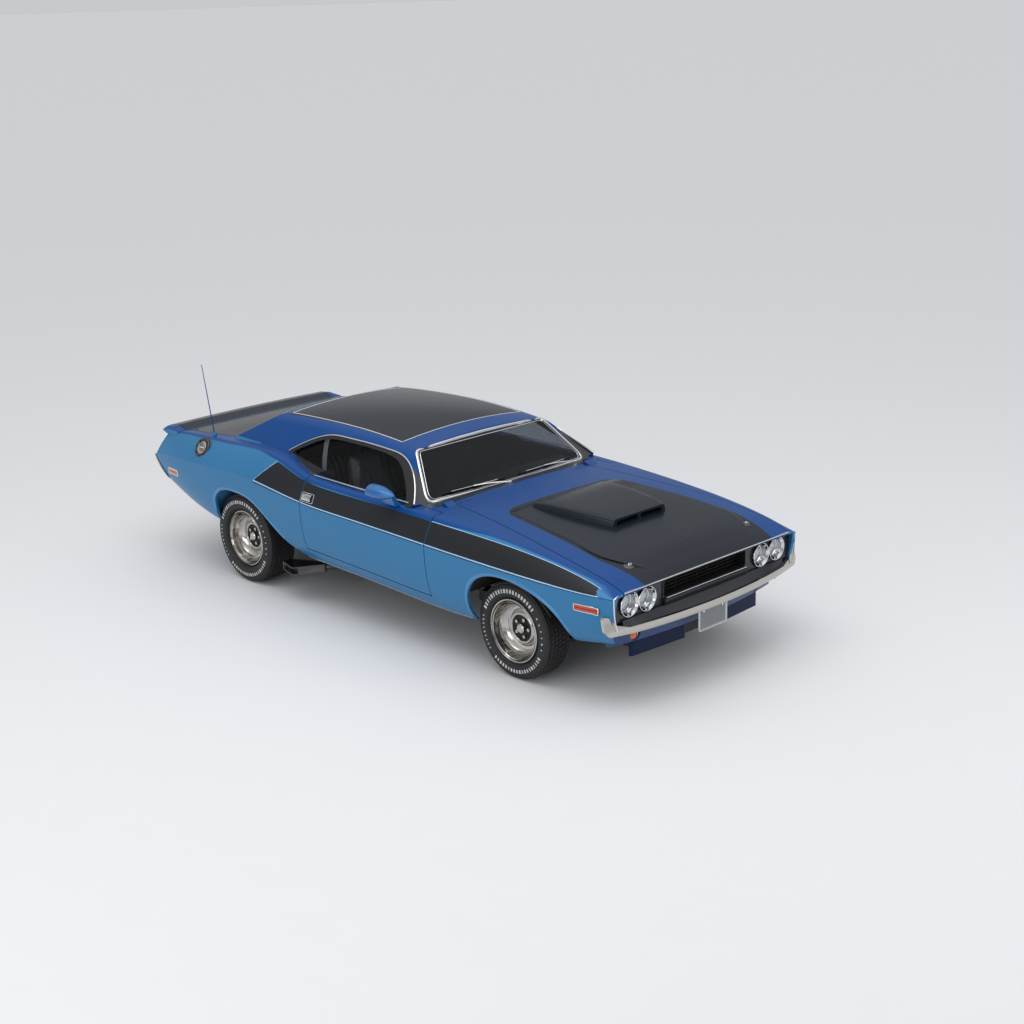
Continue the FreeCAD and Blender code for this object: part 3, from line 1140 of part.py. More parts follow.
# Interior.
dash_line = [(F - 1190, 880), (F - 1150, 918), (F - 960, 918), (F - 925, 900), (F - 925, 700),
             (F - 1040, 640), (F - 1150, 690), (F - 1160, 800)]
dash = prism_y(dash_line, -DOOR_IN + 60, DOOR_IN - 60, 12)
COLUMN = (F - 1110, 370.0, 842.0)
COLUMN_AXIS = (-math.cos(math.radians(18)), 0, math.sin(math.radians(18)))
column = cylinder(COLUMN, COLUMN_AXIS, 32, 198)
save("dashboard", keep(dash.fuse(column)))

wheel_mid = Vec(*COLUMN).add(Vec(*COLUMN_AXIS).multiply(248))
axis = Vec(*COLUMN_AXIS)
STEER_R = 186.0
rim_ring = Part.makeTorus(STEER_R, 12.5, wheel_mid, axis)
hub = Part.makeCylinder(34, 44, wheel_mid.sub(Vec(*COLUMN_AXIS).multiply(44)), axis)
spokes = []
side_dir = axis.cross(Vec(0, 1, 0))
for angle in (-20, 200, 90):
    across, down = math.cos(math.radians(angle)), math.sin(math.radians(angle))
    outward = Vec(0, 1, 0).multiply(across).add(Vec(side_dir).multiply(-down))
    start = wheel_mid.sub(Vec(*COLUMN_AXIS).multiply(22))
    spokes.append(Part.makeCylinder(9, STEER_R + 2, start, outward.add(
        Vec(*COLUMN_AXIS).multiply(22 / STEER_R))))
steering = fuse([rim_ring, hub] + spokes)
save("steering_wheel", keep(steering))


SEAT_Y = 408.0


def bucket(y):
    base = prism_y([(F - 1830, 316), (F - 1330, 316), (F - 1290, 420), (F - 1300, 505),
                    (F - 1400, 512), (F - 1760, 470), (F - 1850, 470)], y - 226, y + 226, 30)
    back = prism_y([(F - 1870, 440), (F - 1740, 440), (F - 1820, 700), (F - 1900, 950),
                    (F - 1925, 1060), (F - 1990, 1060), (F - 1990, 940), (F - 1930, 700)],
                   y - 222, y + 222, 24)
    shape = prism_x([(y - 228, 300), (y + 228, 300), (y + 224, 760), (y + 140, 1075),
                     (y - 140, 1075), (y - 224, 760)], F - 2100, F - 1700, 60)
    return keep(base.fuse(back.common(shape)))


save("front_seats", Part.makeCompound([bucket(SEAT_Y), bucket(-SEAT_Y)]))

rear_seat = prism_y([(R + 740, FLOOR_Z + FLOOR_T + 2), (R + 745, 470), (R + 700, 500),
                     (R + 330, 440), (R + 210, 900), (R + 140, 905), (R + 175, FLOOR_Z + FLOOR_T + 2)],
                    -CABIN_HALF + 75, CABIN_HALF - 75, 22)
rear_seat = rear_seat.cut(box(R + 100, R + 900, -184, 184, 0, 462))
save("rear_seat", keep(rear_seat))

# Antenna and fuel cap on the quarters.
mast = Part.makeCone(4.5, 2.5, 560, Vec(R - 500, ANTENNA_Y, deck_z(R - 500, ANTENNA_Y) - 2),
                     Vec(0.045, ANTENNA_LEAN, 1))
base = Part.makeCone(19, 12, 26, Vec(R - 500, ANTENNA_Y, deck_z(R - 500, ANTENNA_Y) - 6),
                     Vec(0, 0.1, 1)).cut(body)
save("antenna", keep(mast.cut(body).fuse(base)))
cap_line = Vec(0, -0.86, 0.5)
cap_mid = Vec(R - 466, -CAP_Y, CAP_Z)
cap = Part.makeCylinder(CAP_R, 60, cap_mid.sub(Vec(cap_line).multiply(40)), cap_line)
save("fuel_cap", keep(cap.cut(body)))
print("nodes", len(made))
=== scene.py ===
# %% [markdown]
# # A blue and black two-door muscle car
# The CAD parts give every piece its real size and place. This script dresses them: smooth paint,
# films, chrome, glass, tyres, lamps, trim and seats, then a floor, lights and a camera.

# %% Start
import json
import math

import bmesh
import bpy
import numpy as np
from mathutils import Matrix, Vector
from mathutils.bvhtree import BVHTree


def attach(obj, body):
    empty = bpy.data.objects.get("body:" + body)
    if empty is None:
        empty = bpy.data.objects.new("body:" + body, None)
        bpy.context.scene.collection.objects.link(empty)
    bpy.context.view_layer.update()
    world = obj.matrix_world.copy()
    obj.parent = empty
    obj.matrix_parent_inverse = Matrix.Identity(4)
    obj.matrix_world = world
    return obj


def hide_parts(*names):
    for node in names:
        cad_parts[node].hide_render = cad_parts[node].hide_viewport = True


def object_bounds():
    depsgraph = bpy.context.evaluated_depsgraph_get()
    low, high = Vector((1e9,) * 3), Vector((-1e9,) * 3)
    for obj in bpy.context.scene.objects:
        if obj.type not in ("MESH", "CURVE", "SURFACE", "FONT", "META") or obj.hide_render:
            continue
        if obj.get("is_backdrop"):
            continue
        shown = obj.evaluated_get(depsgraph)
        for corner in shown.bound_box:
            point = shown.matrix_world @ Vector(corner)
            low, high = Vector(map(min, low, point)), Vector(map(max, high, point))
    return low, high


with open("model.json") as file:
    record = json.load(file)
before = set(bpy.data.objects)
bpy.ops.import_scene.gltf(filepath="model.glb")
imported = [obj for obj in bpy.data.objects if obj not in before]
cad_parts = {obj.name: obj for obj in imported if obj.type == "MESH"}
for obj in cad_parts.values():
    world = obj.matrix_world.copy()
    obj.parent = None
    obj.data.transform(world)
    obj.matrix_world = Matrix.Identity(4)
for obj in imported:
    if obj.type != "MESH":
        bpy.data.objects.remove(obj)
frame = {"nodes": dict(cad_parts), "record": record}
scene = bpy.context.scene
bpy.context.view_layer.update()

# %% [markdown]
# ## Sizes
# Points are in millimetres, as on the CAD drawing, until a mesh is made from them. The nose points
# along +X and the car's left is +Y. F and R are the x of the front and rear axles, and HALF is half
# the body's greatest width.

# %% Sizes
WHEELBASE = 2794.0
F = 1494.5
R = F - WHEELBASE
X_NOSE = 2429.5
X_TAIL = -2429.5
HALF = 966.5
LIP_X = X_NOSE - 77
FACE_X = LIP_X - 42
DOOR_FRONT = F - 695
DOOR_REAR = DOOR_FRONT - 1280
DOOR_INNER = 793.0
GAP = 6.0
LAMPS = {"outer": (697.0, 652.0), "inner": (541.0, 645.0)}
LAMP_R = 68.0
# At each axle: its x, half its track, and a tyre's radius and half width.
WHEELS = {"front": (F, 758.0, 316.0, 106.0), "rear": (R, 771.0, 330.0, 118.0)}
SIDES = (("left", 1), ("right", -1))
SIDED_NODES = ("door", "front_fender")
BODY_OF = {n: b for b, ns in frame["record"]["behaviour"]["bodies"].items() for n in ns}
print("wheelbase", WHEELBASE, "mm, front axle at x", F)

# %% [markdown]
# ## Finishes
# A real surface is never one flat colour, so each finish starts with a slow noise that shifts its
# colour and gloss a little. Grain adds a fine bump for rubber and vinyl. All of it reads Object
# coordinates, so it stays on the piece when a door opens.

# %% Finishes
def put(tree, value, socket):
    """Links a socket into an input, or sets a plain value on it."""
    if isinstance(value, bpy.types.NodeSocket):
        tree.links.new(value, socket)
    else:
        socket.default_value = value


def add(tree, kind, **inputs):
    """A new node; each input is a value or a socket, and _ stands for a space in its name."""
    made = tree.nodes.new(kind)
    for label, value in inputs.items():
        put(tree, value, made.inputs[label.replace("_", " ")])
    return made


def maths(tree, operation, *values):
    """The result of a Math node fed by sockets or numbers."""
    made = add(tree, "ShaderNodeMath")
    made.operation = operation
    for socket, value in zip(made.inputs, values):
        put(tree, value, socket)
    return made.outputs[0]


def mixed(tree, share, first, second, kind="RGBA"):
    """The result of a Mix node between two sockets, colours or numbers."""
    made = add(tree, "ShaderNodeMix")
    made.data_type = kind
    put(tree, share, made.inputs[0])
    for label, value in (("A", first), ("B", second)):
        put(tree, value, next(s for s in made.inputs if s.name == label and s.enabled))
    return next(s for s in made.outputs if s.enabled)


def surface_noise(tree, scale, detail):
    """Noise that stays on the piece, from 0 to 1."""
    place = add(tree, "ShaderNodeTexCoord").outputs["Object"]
    return add(tree, "ShaderNodeTexNoise", Vector=place, Scale=scale, Detail=detail).outputs["Fac"]


def finish(name, colour, metallic=0.0, rough=0.5, coat=0.0, vary=0.1, scale=4.0, ior=1.5):
    """A Principled finish whose colour and roughness vary slowly over the piece."""
    mat = bpy.data.materials.new(name)
    mat.use_nodes = True
    tree = mat.node_tree
    noise = surface_noise(tree, scale, 4.0)
    dull, bright = ((*[c * (1 + change) for c in colour], 1) for change in (-vary, vary))
    gloss = add(tree, "ShaderNodeMapRange", Value=noise, To_Min=rough * (1 - vary),
                To_Max=rough * (1 + vary))
    for label, value in (("Metallic", metallic), ("Coat Weight", coat), ("Coat Roughness", 0.03),
                         ("IOR", ior), ("Base Color", mixed(tree, noise, dull, bright)),
                         ("Roughness", gloss.outputs["Result"])):
        put(tree, value, tree.nodes["Principled BSDF"].inputs[label])
    return mat


def grain(mat, scale, depth, strength):
    """Adds a fine noise bump to a finish."""
    tree = mat.node_tree
    bump = add(tree, "ShaderNodeBump", Height=surface_noise(tree, scale, 3.0), Strength=strength,
               Distance=depth)
    put(tree, bump.outputs["Normal"], tree.nodes["Principled BSDF"].inputs["Normal"])
    return mat


def glass(name, colour, rough, ior):
    """Tinted glass that light goes through."""
    mat = finish(name, colour, rough=rough, vary=0.03, ior=ior)
    mat.node_tree.nodes["Principled BSDF"].inputs["Transmission Weight"].default_value = 1.0
    return mat


satin_black = finish("satin_black", (0.012, 0.016, 0.025), rough=0.28, coat=0.2, ior=1.35)
film_black = finish("film_black", (0.013, 0.015, 0.019), rough=0.42, vary=0.15, ior=1.35)
matt_black = finish("matt_black", (0.009, 0.009, 0.01), rough=0.6)
chrome = finish("chrome", (0.74, 0.74, 0.74), 1.0, 0.07, vary=0.15, scale=9.0)
wheel_chrome = finish("wheel_chrome", (0.52, 0.5, 0.47), 1.0, 0.12, vary=0.25, scale=14.0)
bowl_chrome = finish("bowl_chrome", (0.66, 0.67, 0.69), 1.0, 0.09, vary=0.25, scale=22.0)
pale_trim = finish("pale_trim", (0.72, 0.72, 0.7), 0.2, 0.3, vary=0.05)
bumper_chrome = finish("bumper_chrome", (0.52, 0.505, 0.47), 1.0, 0.12, vary=0.12, scale=6.0)
brushed = finish("brushed_trim", (0.55, 0.56, 0.58), 1.0, 0.22, vary=0.12, scale=30.0)
# Light blue lines: pinstripes, and along the crease a painted highlight.
silver_line = finish("silver_line", (0.45, 0.66, 0.9), 0.2, 0.25, 0.5)
rubber = grain(finish("tyre_rubber", (0.016, 0.016, 0.017), rough=0.6), 90, 0.0004, 0.3)
seal_rubber = finish("seal_rubber", (0.01, 0.01, 0.011), rough=0.5)
vinyl = grain(finish("black_vinyl", (0.05, 0.05, 0.054), rough=0.42), 260, 0.0006, 0.35)
webbing = grain(finish("grey_webbing", (0.16, 0.16, 0.165), rough=0.7), 400, 0.0005, 0.5)
chassis = finish("chassis_black", (0.014, 0.014, 0.015), rough=0.55, vary=0.3)
steel = finish("exhaust_steel", (0.16, 0.155, 0.15), 1.0, 0.38, vary=0.3, scale=12.0)
iron = grain(finish("engine_iron", (0.03, 0.06, 0.12), 0.1, 0.5), 60, 0.001, 0.4)
amber = finish("amber_lens", (0.72, 0.14, 0.015), rough=0.12, coat=0.6)
orange_lens = finish("orange_lens", (0.62, 0.2, 0.06), rough=0.15, coat=0.6)
red_lens = finish("red_lens", (0.42, 0.012, 0.01), rough=0.12, coat=0.6)
raised_white = finish("raised_white", (0.62, 0.62, 0.6), rough=0.5, vary=0.2, scale=40.0)
plate_grey = finish("plate_grey", (0.2, 0.215, 0.23), 0.3, 0.35, vary=0.2, scale=20.0)
screen_glass = glass("screen_glass", (0.16, 0.18, 0.21), 0.0, 1.3)
side_glass = glass("side_glass", (0.86, 0.88, 0.9), 0.0, 1.12)
print("finishes:", len(bpy.data.materials))

# %% [markdown]
# ## Blue paint
# The flanks read as a mid, almost sky blue and the upper faces as deep royal blue. Both are one
# blue paint under the light: the lighter flanks are painted light and the deeper tops painted shade.
# The paint mixes the two blues by how far the surface faces up, under a clear coat. Painted black
# areas are added to the same tree as masks in plan, which keeps their edges sharp on any mesh.

# %% Paint
# Two copies of one blue paint: the deeper one is painted shade on the upper faces, the lighter one
# painted light on the flanks.
SHADED_TOP_BLUE = (0.003, 0.064, 0.26)
LIT_SIDE_BLUE = (0.038, 0.2, 0.41)
SATIN = (0.012, 0.016, 0.025)


def along_x(tree, points):
    """A value that follows x by straight lines through (x, value) points in mm, in metres."""
    place = add(tree, "ShaderNodeSeparateXYZ", Vector=add(tree, "ShaderNodeTexCoord").outputs["Object"])
    value = points[0][1] / 1000
    for (x0, v0), (x1, v1) in zip(points, points[1:]):
        part = add(tree, "ShaderNodeMapRange", Value=place.outputs["X"], From_Min=x0 / 1000,
                   From_Max=x1 / 1000, To_Min=0.0, To_Max=(v1 - v0) / 1000)
        value = maths(tree, "ADD", part.outputs["Result"], value)
    return value, place


def blue_paint(name, shaded_above):
    """Painted light and shade: lit blue on upright panels, shaded deep blue on upper faces and above a
    height that follows x.
    """
    mat = finish(name, SHADED_TOP_BLUE, 0.15, 0.3, 0.06, vary=0.06, scale=1.5, ior=1.3)
    tree = mat.node_tree
    base = tree.nodes["Principled BSDF"].inputs["Base Color"]
    height, place = along_x(tree, shaded_above)
    way = add(tree, "ShaderNodeSeparateXYZ", Vector=add(tree, "ShaderNodeTexCoord").outputs["Normal"])
    # The share of painted shade rises as the surface faces up, and is full above the given height.
    facing = add(tree, "ShaderNodeMapRange", Value=way.outputs["Z"], From_Min=0.76, From_Max=0.9)
    facing.interpolation_type = "SMOOTHSTEP"
    high = maths(tree, "GREATER_THAN", place.outputs["Z"], height)
    share = maths(tree, "MAXIMUM", facing.outputs["Result"], high)
    put(tree, mixed(tree, share, (*LIT_SIDE_BLUE, 1), base.links[0].from_socket), base)
    return mat


def black_area(mat, half_width, above=0.0):
    """Paints satin black within a half width that follows x, between its first and last x."""
    tree = mat.node_tree
    width, place = along_x(tree, half_width)
    inside = maths(tree, "GREATER_THAN", width, maths(tree, "ABSOLUTE", place.outputs["Y"]))
    for operation, edge, label in (("GREATER_THAN", half_width[0][0] / 1000, "X"),
                                   ("LESS_THAN", half_width[-1][0] / 1000, "X"),
                                   ("GREATER_THAN", above, "Z")):
        inside = maths(tree, "MULTIPLY", inside, maths(tree, operation, place.outputs[label], edge))
    for label, black in (("Base Color", (*SATIN, 1)), ("Roughness", 0.26), ("Metallic", 0.0)):
        socket = tree.nodes["Principled BSDF"].inputs[label]
        plain = socket.links[0].from_socket if socket.links else socket.default_value
        kind = "RGBA" if label == "Base Color" else "FLOAT"
        put(tree, mixed(tree, inside, plain, black, kind), socket)
    return mat


ROOF_REAR, ROOF_FRONT = -1093.0, 150.0
ROOF_PANEL = [(ROOF_REAR, 556), (-400, 562), (ROOF_FRONT, 556)]
HOOD_BLACK = [(1070, 430), (1110, 500), (1170, 535), (1640, 596), (2033, 640), (2185, 622),
              (2400, 596)]
BELT_HEIGHT = [(-2600, 1050), (-1900, 1022), (-1250, 1036), (-850, 1000), (-480, 918), (600, 893),
               (2600, 893)]
TAIL_PANEL = [(-2500, 782), (-2320, 782)]
SPOILER_TOP = [(X_TAIL + 26, 900), (-2222, 900)]
body_blue = blue_paint("body_blue", BELT_HEIGHT)
shell_paint = black_area(blue_paint("shell_paint", BELT_HEIGHT), ROOF_PANEL, 1.15)
shell_paint = black_area(shell_paint, TAIL_PANEL, 0.785)
hood_paint = black_area(blue_paint("hood_paint", [(-2500, 700), (2500, 700)]), HOOD_BLACK)
tail_black = black_area(blue_paint("tail_paint", BELT_HEIGHT), SPOILER_TOP)
sky_blue = finish("mirror_blue", (0.02, 0.15, 0.42), 0.3, 0.25, 0.4, vary=0.2, scale=9.0)
# A lighter blue than the flank for the arch lips: painted highlight.
lip_blue = finish("lip_blue", (0.05, 0.24, 0.5), 0.3, 0.25, 0.4)
# A darker blue for the apron under the bumper: painted shade.
apron_blue = finish("apron_blue", (0.006, 0.04, 0.16), 0.3, 0.28, 0.4)
print("blue paints with black areas on the roof, hood, tail and spoiler")

# %% [markdown]
# Every CAD solid gets one of the finishes first. Later cells replace the solids that need smoother
# or richer meshes.

# %% CAD pieces
NODE_FINISH = {name: paint for paint, names in (
    (shell_paint, "body_shell"), (hood_paint, "hood"), (tail_black, "spoiler"),
    (sky_blue, "mirror_right"), (satin_black, "trunk_lid cowl"), (matt_black, "grille"),
    (body_blue, "front_fender_left front_fender_right door_left door_right spoiler_ends "
                "front_valance antenna"),
    (chrome, "headlamps front_bumper rear_bumper fuel_cap rim_front_left rim_front_right "
             "rim_rear_left rim_rear_right"),
    (rubber, "tyre_front_left tyre_front_right tyre_rear_left tyre_rear_right"),
    (screen_glass, "windshield rear_window"), (side_glass, "door_glass_left door_glass_right"),
    (amber, "side_markers turn_lamps"), (red_lens, "tail_lamps"),
    (vinyl, "dashboard front_seats rear_seat steering_wheel"), (steel, "exhaust"),
    (iron, "engine_block drivetrain")) for name in names.split()}
for name, node in frame["nodes"].items():
    node.data.materials.clear()
    node.data.materials.append(NODE_FINISH.get(name, chassis))
print("finishes on", len(frame["nodes"]), "CAD pieces")

# %% [markdown]
# ## Lines of the body
# The same lines that shape the CAD panels: crease, shoulder, sill, belt, rail and roof. They
# give exact surface directions for the paint, and places for stripes and trim.

# %% Body lines
def line(*points):
    """A natural cubic through (x, value) pairs, straight beyond its ends, for arrays of x."""
    xs, ys = (np.array(v, float) for v in zip(*sorted(points)))
    gaps = np.diff(xs)
    size = len(xs)
    grid = np.eye(size)
    bend = np.zeros(size)
    for i in range(1, size - 1):
        grid[i, i - 1:i + 2] = gaps[i - 1], 2 * (gaps[i - 1] + gaps[i]), gaps[i]
        bend[i] = 6 * ((ys[i + 1] - ys[i]) / gaps[i] - (ys[i] - ys[i - 1]) / gaps[i - 1])
    curve = np.linalg.solve(grid, bend)

    def value(x):
        x = np.asarray(x, float)
        inside = np.clip(x, xs[0], xs[-1])
        i = np.clip(np.searchsorted(xs, inside, side="right") - 1, 0, size - 2)
        before, after = inside - xs[i], xs[i + 1] - inside
        gap = gaps[i]
        out = (curve[i] * after ** 3 + curve[i + 1] * before ** 3) / (6 * gap)
        out += (ys[i] / gap - curve[i] * gap / 6) * after
        out += (ys[i + 1] / gap - curve[i + 1] * gap / 6) * before
        start = (ys[1] - ys[0]) / gaps[0] - gaps[0] * curve[1] / 6
        end = (ys[-1] - ys[-2]) / gaps[-1] + gaps[-1] * curve[-2] / 6
        return out + start * np.minimum(x - xs[0], 0) + end * np.maximum(x - xs[-1], 0)

    return value


CREASE_Y = line((F + 870, HALF - 112), (F + 700, HALF - 72), (F + 400, HALF - 38), (F, HALF - 20),
                (F - 700, HALF - 6), (F - 1500, HALF), (R + 600, HALF), (R, HALF - 4),
                (R - 500, HALF - 22), (R - 900, HALF - 60), (R - 1110, HALF - 94))
CREASE_Z = line((F + 870, 726), (F + 400, 731), (F, 738), (F - 690, 754), (F - 1500, 772),
                (F - 1975, 785), (R + 480, 818), (R + 200, 845), (R, 851), (R - 420, 834),
                (R - 950, 800), (R - 1110, 788))
TOP_Y = line((F + 870, 782), (F + 640, 810), (F + 55, 835), (F - 635, 862), (F - 1500, 878),
             (F - 1975, 878), (R + 500, 852), (R + 200, 824), (R - 100, 806), (R - 700, 788),
             (R - 1110, 760))
TOP_Z = line((F + 870, 742), (F + 780, 776), (F + 690, 800), (F + 555, 824), (F + 355, 852),
             (F + 55, 884), (F - 295, 907), (F - 635, 922), (F - 895, 930), (F - 1500, 934),
             (F - 1800, 938), (F - 1975, 950), (R + 650, 980), (R + 500, 1012), (R + 350, 1028),
             (R + 60, 1026), (R - 330, 1004), (R - 700, 984), (R - 1030, 952), (R - 1110, 944))
CENTRE_Z = line((F + 870, 746), (F + 780, 796), (F + 690, 838), (F + 555, 866), (F + 305, 894),
                (F, 917), (F - 350, 936), (F - 735, 946), (F - 895, 948), (F - 1500, 950),
                (F - 1975, 962), (R + 500, 1022), (R + 60, 1036), (R - 300, 1018),
                (R - 700, 998), (R - 930, 972), (R - 1110, 954))
SILL_Z = line((F + 870, 425), (F + 505, 378), (F, 330), (F - 410, 300), (F - 1200, 316),
              (F - 1950, 342), (R + 300, 368), (R, 398), (R - 330, 436), (R - 700, 498),
              (R - 950, 556), (R - 1110, 596))
SILL_TUCK = line((F + 870, 104), (F, 112), (R + 800, 112), (R + 100, 78), (R - 260, 56),
                 (R - 700, 70), (R - 1110, 86))
BELT_Y = line((F - 735, 842), (F - 1500, 838), (F - 1900, 833), (R + 500, 824), (R + 100, 800),
              (R - 300, 770), (R - 500, 752))
RAIL_Y = line((F - 735, 612), (F - 1182, 612), (F - 1745, 608), (R + 600, 600), (R + 200, 584),
              (R - 500, 540))
RAIL_Z = line((F - 735, 1156), (F - 1182, 1214), (F - 1495, 1242), (F - 1845, 1255),
              (R + 600, 1251), (R + 208, 1233), (R - 500, 1150))
ROOF_Z = line((F - 735, 1172), (F - 1182, 1248), (F - 1495, 1280), (F - 1845, 1293),
              (R + 600, 1288), (R + 208, 1266), (R - 500, 1180))
LINING = 13.0


def unit(vectors):
    """The same directions at length 1."""
    vectors = np.asarray(vectors, float)
    return vectors / np.maximum(np.linalg.norm(vectors, axis=-1, keepdims=True), 1e-9)


def body_strips(x):
    """(y, z) poles of the lower body's side, shoulder, rounded corner and top at x."""
    crease = CREASE_Y(x), CREASE_Z(x)
    top = TOP_Y(x), TOP_Z(x)
    sill, tuck = SILL_Z(x), SILL_TUCK(x)
    height = crease[1] - sill
    side = [(crease[0] - tuck, sill), (crease[0] - 0.22 * tuck, sill + 0.16 * height),
            (crease[0] + 5, crease[1] - 0.42 * height), crease]
    dy, dz = crease[0] - top[0], crease[1] - top[1]
    size = np.hypot(dy, dz)
    lean = math.radians(7)
    ay = (dy * math.cos(lean) - dz * math.sin(lean)) / size
    az = (dy * math.sin(lean) + dz * math.cos(lean)) / size
    edge = top[0] + 26 * ay, top[1] + 26 * az
    shoulder = [crease, (edge[0] + 0.45 * size * ay, edge[1] + 0.45 * size * az), edge]
    rise = 2 * (CENTRE_Z(x) - top[1]) / top[0]
    inner = top[0] - 26, top[1] + 26 * rise
    lid = [inner, (0 * rise, top[1] + top[0] * rise), (-inner[0], inner[1])]
    return [side, shoulder, [edge, top, inner], lid]


def house_strips(x):
    """(y, z) poles of the glasshouse's side, rounded rail and roof at x."""
    belt, rail, rail_z, roof = BELT_Y(x), RAIL_Y(x), RAIL_Z(x), ROOF_Z(x)
    slope = (belt - rail) / (950 - rail_z)
    foot = belt + slope * (900 - 950), 900 + 0 * belt
    size = np.hypot(foot[0] - rail, foot[1] - rail_z)
    edge = rail + 60 * (foot[0] - rail) / size, rail_z + 60 * (foot[1] - rail_z) / size
    rise = 2 * (roof - rail_z) / rail
    inner = rail - 60, rail_z + 60 * rise
    top = [inner, (0 * rise, rail_z + rail * rise), (-inner[0], inner[1])]
    return [[foot, edge], [edge, (rail, rail_z), inner], top]


def strip_at(strips, number, x, t):
    """(y, z) on a strip for arrays of x and t that broadcast together."""
    poles = strips(x)[number]
    order = len(poles) - 1
    return np.stack([sum(math.comb(order, k) * t ** k * (1 - t) ** (order - k) * pole[axis]
                         for k, pole in enumerate(poles)) for axis in (0, 1)], -1)


def surface_frame(points, strips, number):
    """Distance from each point to a strip, and the strip's outward direction there."""
    t = np.linspace(0, 1, 33)
    x, yz = points[:, 0], points[:, 1:]
    path = strip_at(strips, number, x[:, None], t)
    start, step = path[:, :-1], np.diff(path, axis=1)
    along = np.einsum("nkc,nkc->nk", yz[:, None] - start, step)
    along = np.clip(along / np.maximum(np.einsum("nkc,nkc->nk", step, step), 1e-9), 0, 1)
    miss = np.linalg.norm(start + along[..., None] * step - yz[:, None], axis=2)
    best = miss.argmin(1)
    rows = np.arange(len(x))
    place = (best + along[rows, best]) / (len(t) - 1)

    def near(shift, turn):
        return strip_at(strips, number, x + shift, np.clip(place + turn, 0, 1))

    run = np.column_stack([np.full(len(x), 8.0), near(4.0, 0.0) - near(-4.0, 0.0)])
    rise = np.column_stack([np.zeros(len(x)), near(0.0, 0.012) - near(0.0, -0.012)])
    return miss[rows, best], unit(np.cross(rise, run))


def read(items, label, width=3, kind=float):
    """One value of all vertices, loops or faces of a mesh, as an array."""
    values = np.zeros(len(items) * width, kind)
    items.foreach_get(label, values)
    return values.reshape(-1, width) if width > 1 else values


def mesh_arrays(mesh):
    """Corner points, face centres and face normals in mm, each loop's face, and loop normals."""
    owner = np.repeat(np.arange(len(mesh.polygons)), read(mesh.polygons, "loop_total", 1, int))
    corners = read(mesh.vertices, "co")[read(mesh.loops, "vertex_index", 1, int)] * 1000
    return (corners, read(mesh.polygons, "center") * 1000, read(mesh.polygons, "normal"), owner,
            read(mesh.corner_normals, "vector"))


def paint_surface(mesh, reach=4.0, agreement=0.8):
    """Gives the faces that lie on a body surface that surface's own directions."""
    corners, middle, flat, owner, normals = mesh_arrays(mesh)
    mirror = np.where(middle[:, 1:2] < 0, (1.0, -1.0, 1.0), (1.0, 1.0, 1.0))
    closest = np.full(len(middle), reach)
    for strips in (body_strips, house_strips):
        for number in range(len(strips(F))):
            miss, way = surface_frame(middle * mirror, strips, number)
            agree = np.einsum("nc,nc->n", way * mirror, flat)
            chosen = (miss < closest) & (agree > agreement)
            closest = np.where(chosen, miss, closest)
            loops = np.flatnonzero(chosen[owner])
            if len(loops):
                side = mirror[owner[loops]]
                normals[loops] = surface_frame(corners[loops] * side, strips, number)[1] * side
    mesh.normals_split_custom_set(normals.tolist())


# Along the hood's raised middle: x, half width, rise, and the ridge on top of that.
PLATEAU = [(1096, 452, -3.0, 0.0), (1130, 492, 5.0, 0.0), (1240, 518, 8.0, 0.0),
           (1460, 544, 8.0, 0.0), (1680, 568, 8.0, 0.0), (1860, 586, 8.0, 1.0),
           (2000, 594, 8.0, 3.0), (2120, 560, 7.0, 4.0), (2220, 498, 5.0, 4.0),
           (2310, 420, 1.5, 2.0), (2345, 396, -3.0, 0.0)]
PLATEAU_HALF, PLATEAU_RISE, PLATEAU_RIDGE = (line(*[(row[0], row[k]) for row in PLATEAU])
                                             for k in (1, 2, 3))
PLATEAU_EDGE = 20.0


def lid_height(x, y):
    """Height of the plain hood at x and y."""
    inner_y, inner_z = body_strips(x)[3][0]
    peak = body_strips(x)[3][1][1]
    across = (y / inner_y) ** 2
    return inner_z * (1 + across) / 2 + peak * (1 - across) / 2


def hood_height(x, y):
    """Height of the hood with its raised middle, side creases and front ridge."""
    half, rise, ridge = PLATEAU_HALF(x), PLATEAU_RISE(x), PLATEAU_RIDGE(x)
    side = np.abs(y)
    top, middle = lid_height(x, half) + rise, lid_height(x, 0 * y) + rise
    foot = lid_height(x, half + PLATEAU_EDGE) - 4
    s = 1 - side / half
    crown = top * (1 - s) ** 2 + 2 * middle * s * (1 - s) + (middle + ridge) * s ** 2
    slope = top + (foot - top) * (side - half) / PLATEAU_EDGE
    raised = np.where(side < half, crown, slope)
    on_it = (x > PLATEAU[0][0]) & (x < PLATEAU[-1][0]) & (side < half + PLATEAU_EDGE)
    plain = lid_height(x, y)
    return np.where(on_it, np.maximum(raised, plain), plain)


def crease_hood(mesh, reach=3.0, pull=0.25, step=1.5):
    """Gives the hood's upper faces the direction of its real shape, sharp at the creases."""
    corners, middle, flat, owner, normals = mesh_arrays(mesh)
    above = hood_height(middle[:, 0], middle[:, 1]) - middle[:, 2]
    on_top = (flat[:, 2] > 0.5) & (np.abs(above) < reach)
    x, y, _ = (corners + (middle[owner] - corners) * pull).T
    along = (hood_height(x + step, y) - hood_height(x - step, y)) / (2 * step)
    across = (hood_height(x, y + step) - hood_height(x, y - step)) / (2 * step)
    ways = unit(np.column_stack([-along, -across, np.ones(len(x))]))
    normals[on_top[owner]] = ways[on_top[owner]]
    mesh.normals_split_custom_set(normals.tolist())


def shade_faces(made, choose):
    """Gives each face the material number that choose says for all face centres, in mm."""
    faces = made.data.polygons
    numbers = choose(read(faces, "center") * 1000, read(faces, "normal"))
    faces.foreach_set("material_index", np.asarray(numbers, int).tolist())


def house_slope(x):
    """How far the glasshouse's side moves out for each mm of height at x."""
    return (BELT_Y(x) - RAIL_Y(x)) / (950 - RAIL_Z(x))


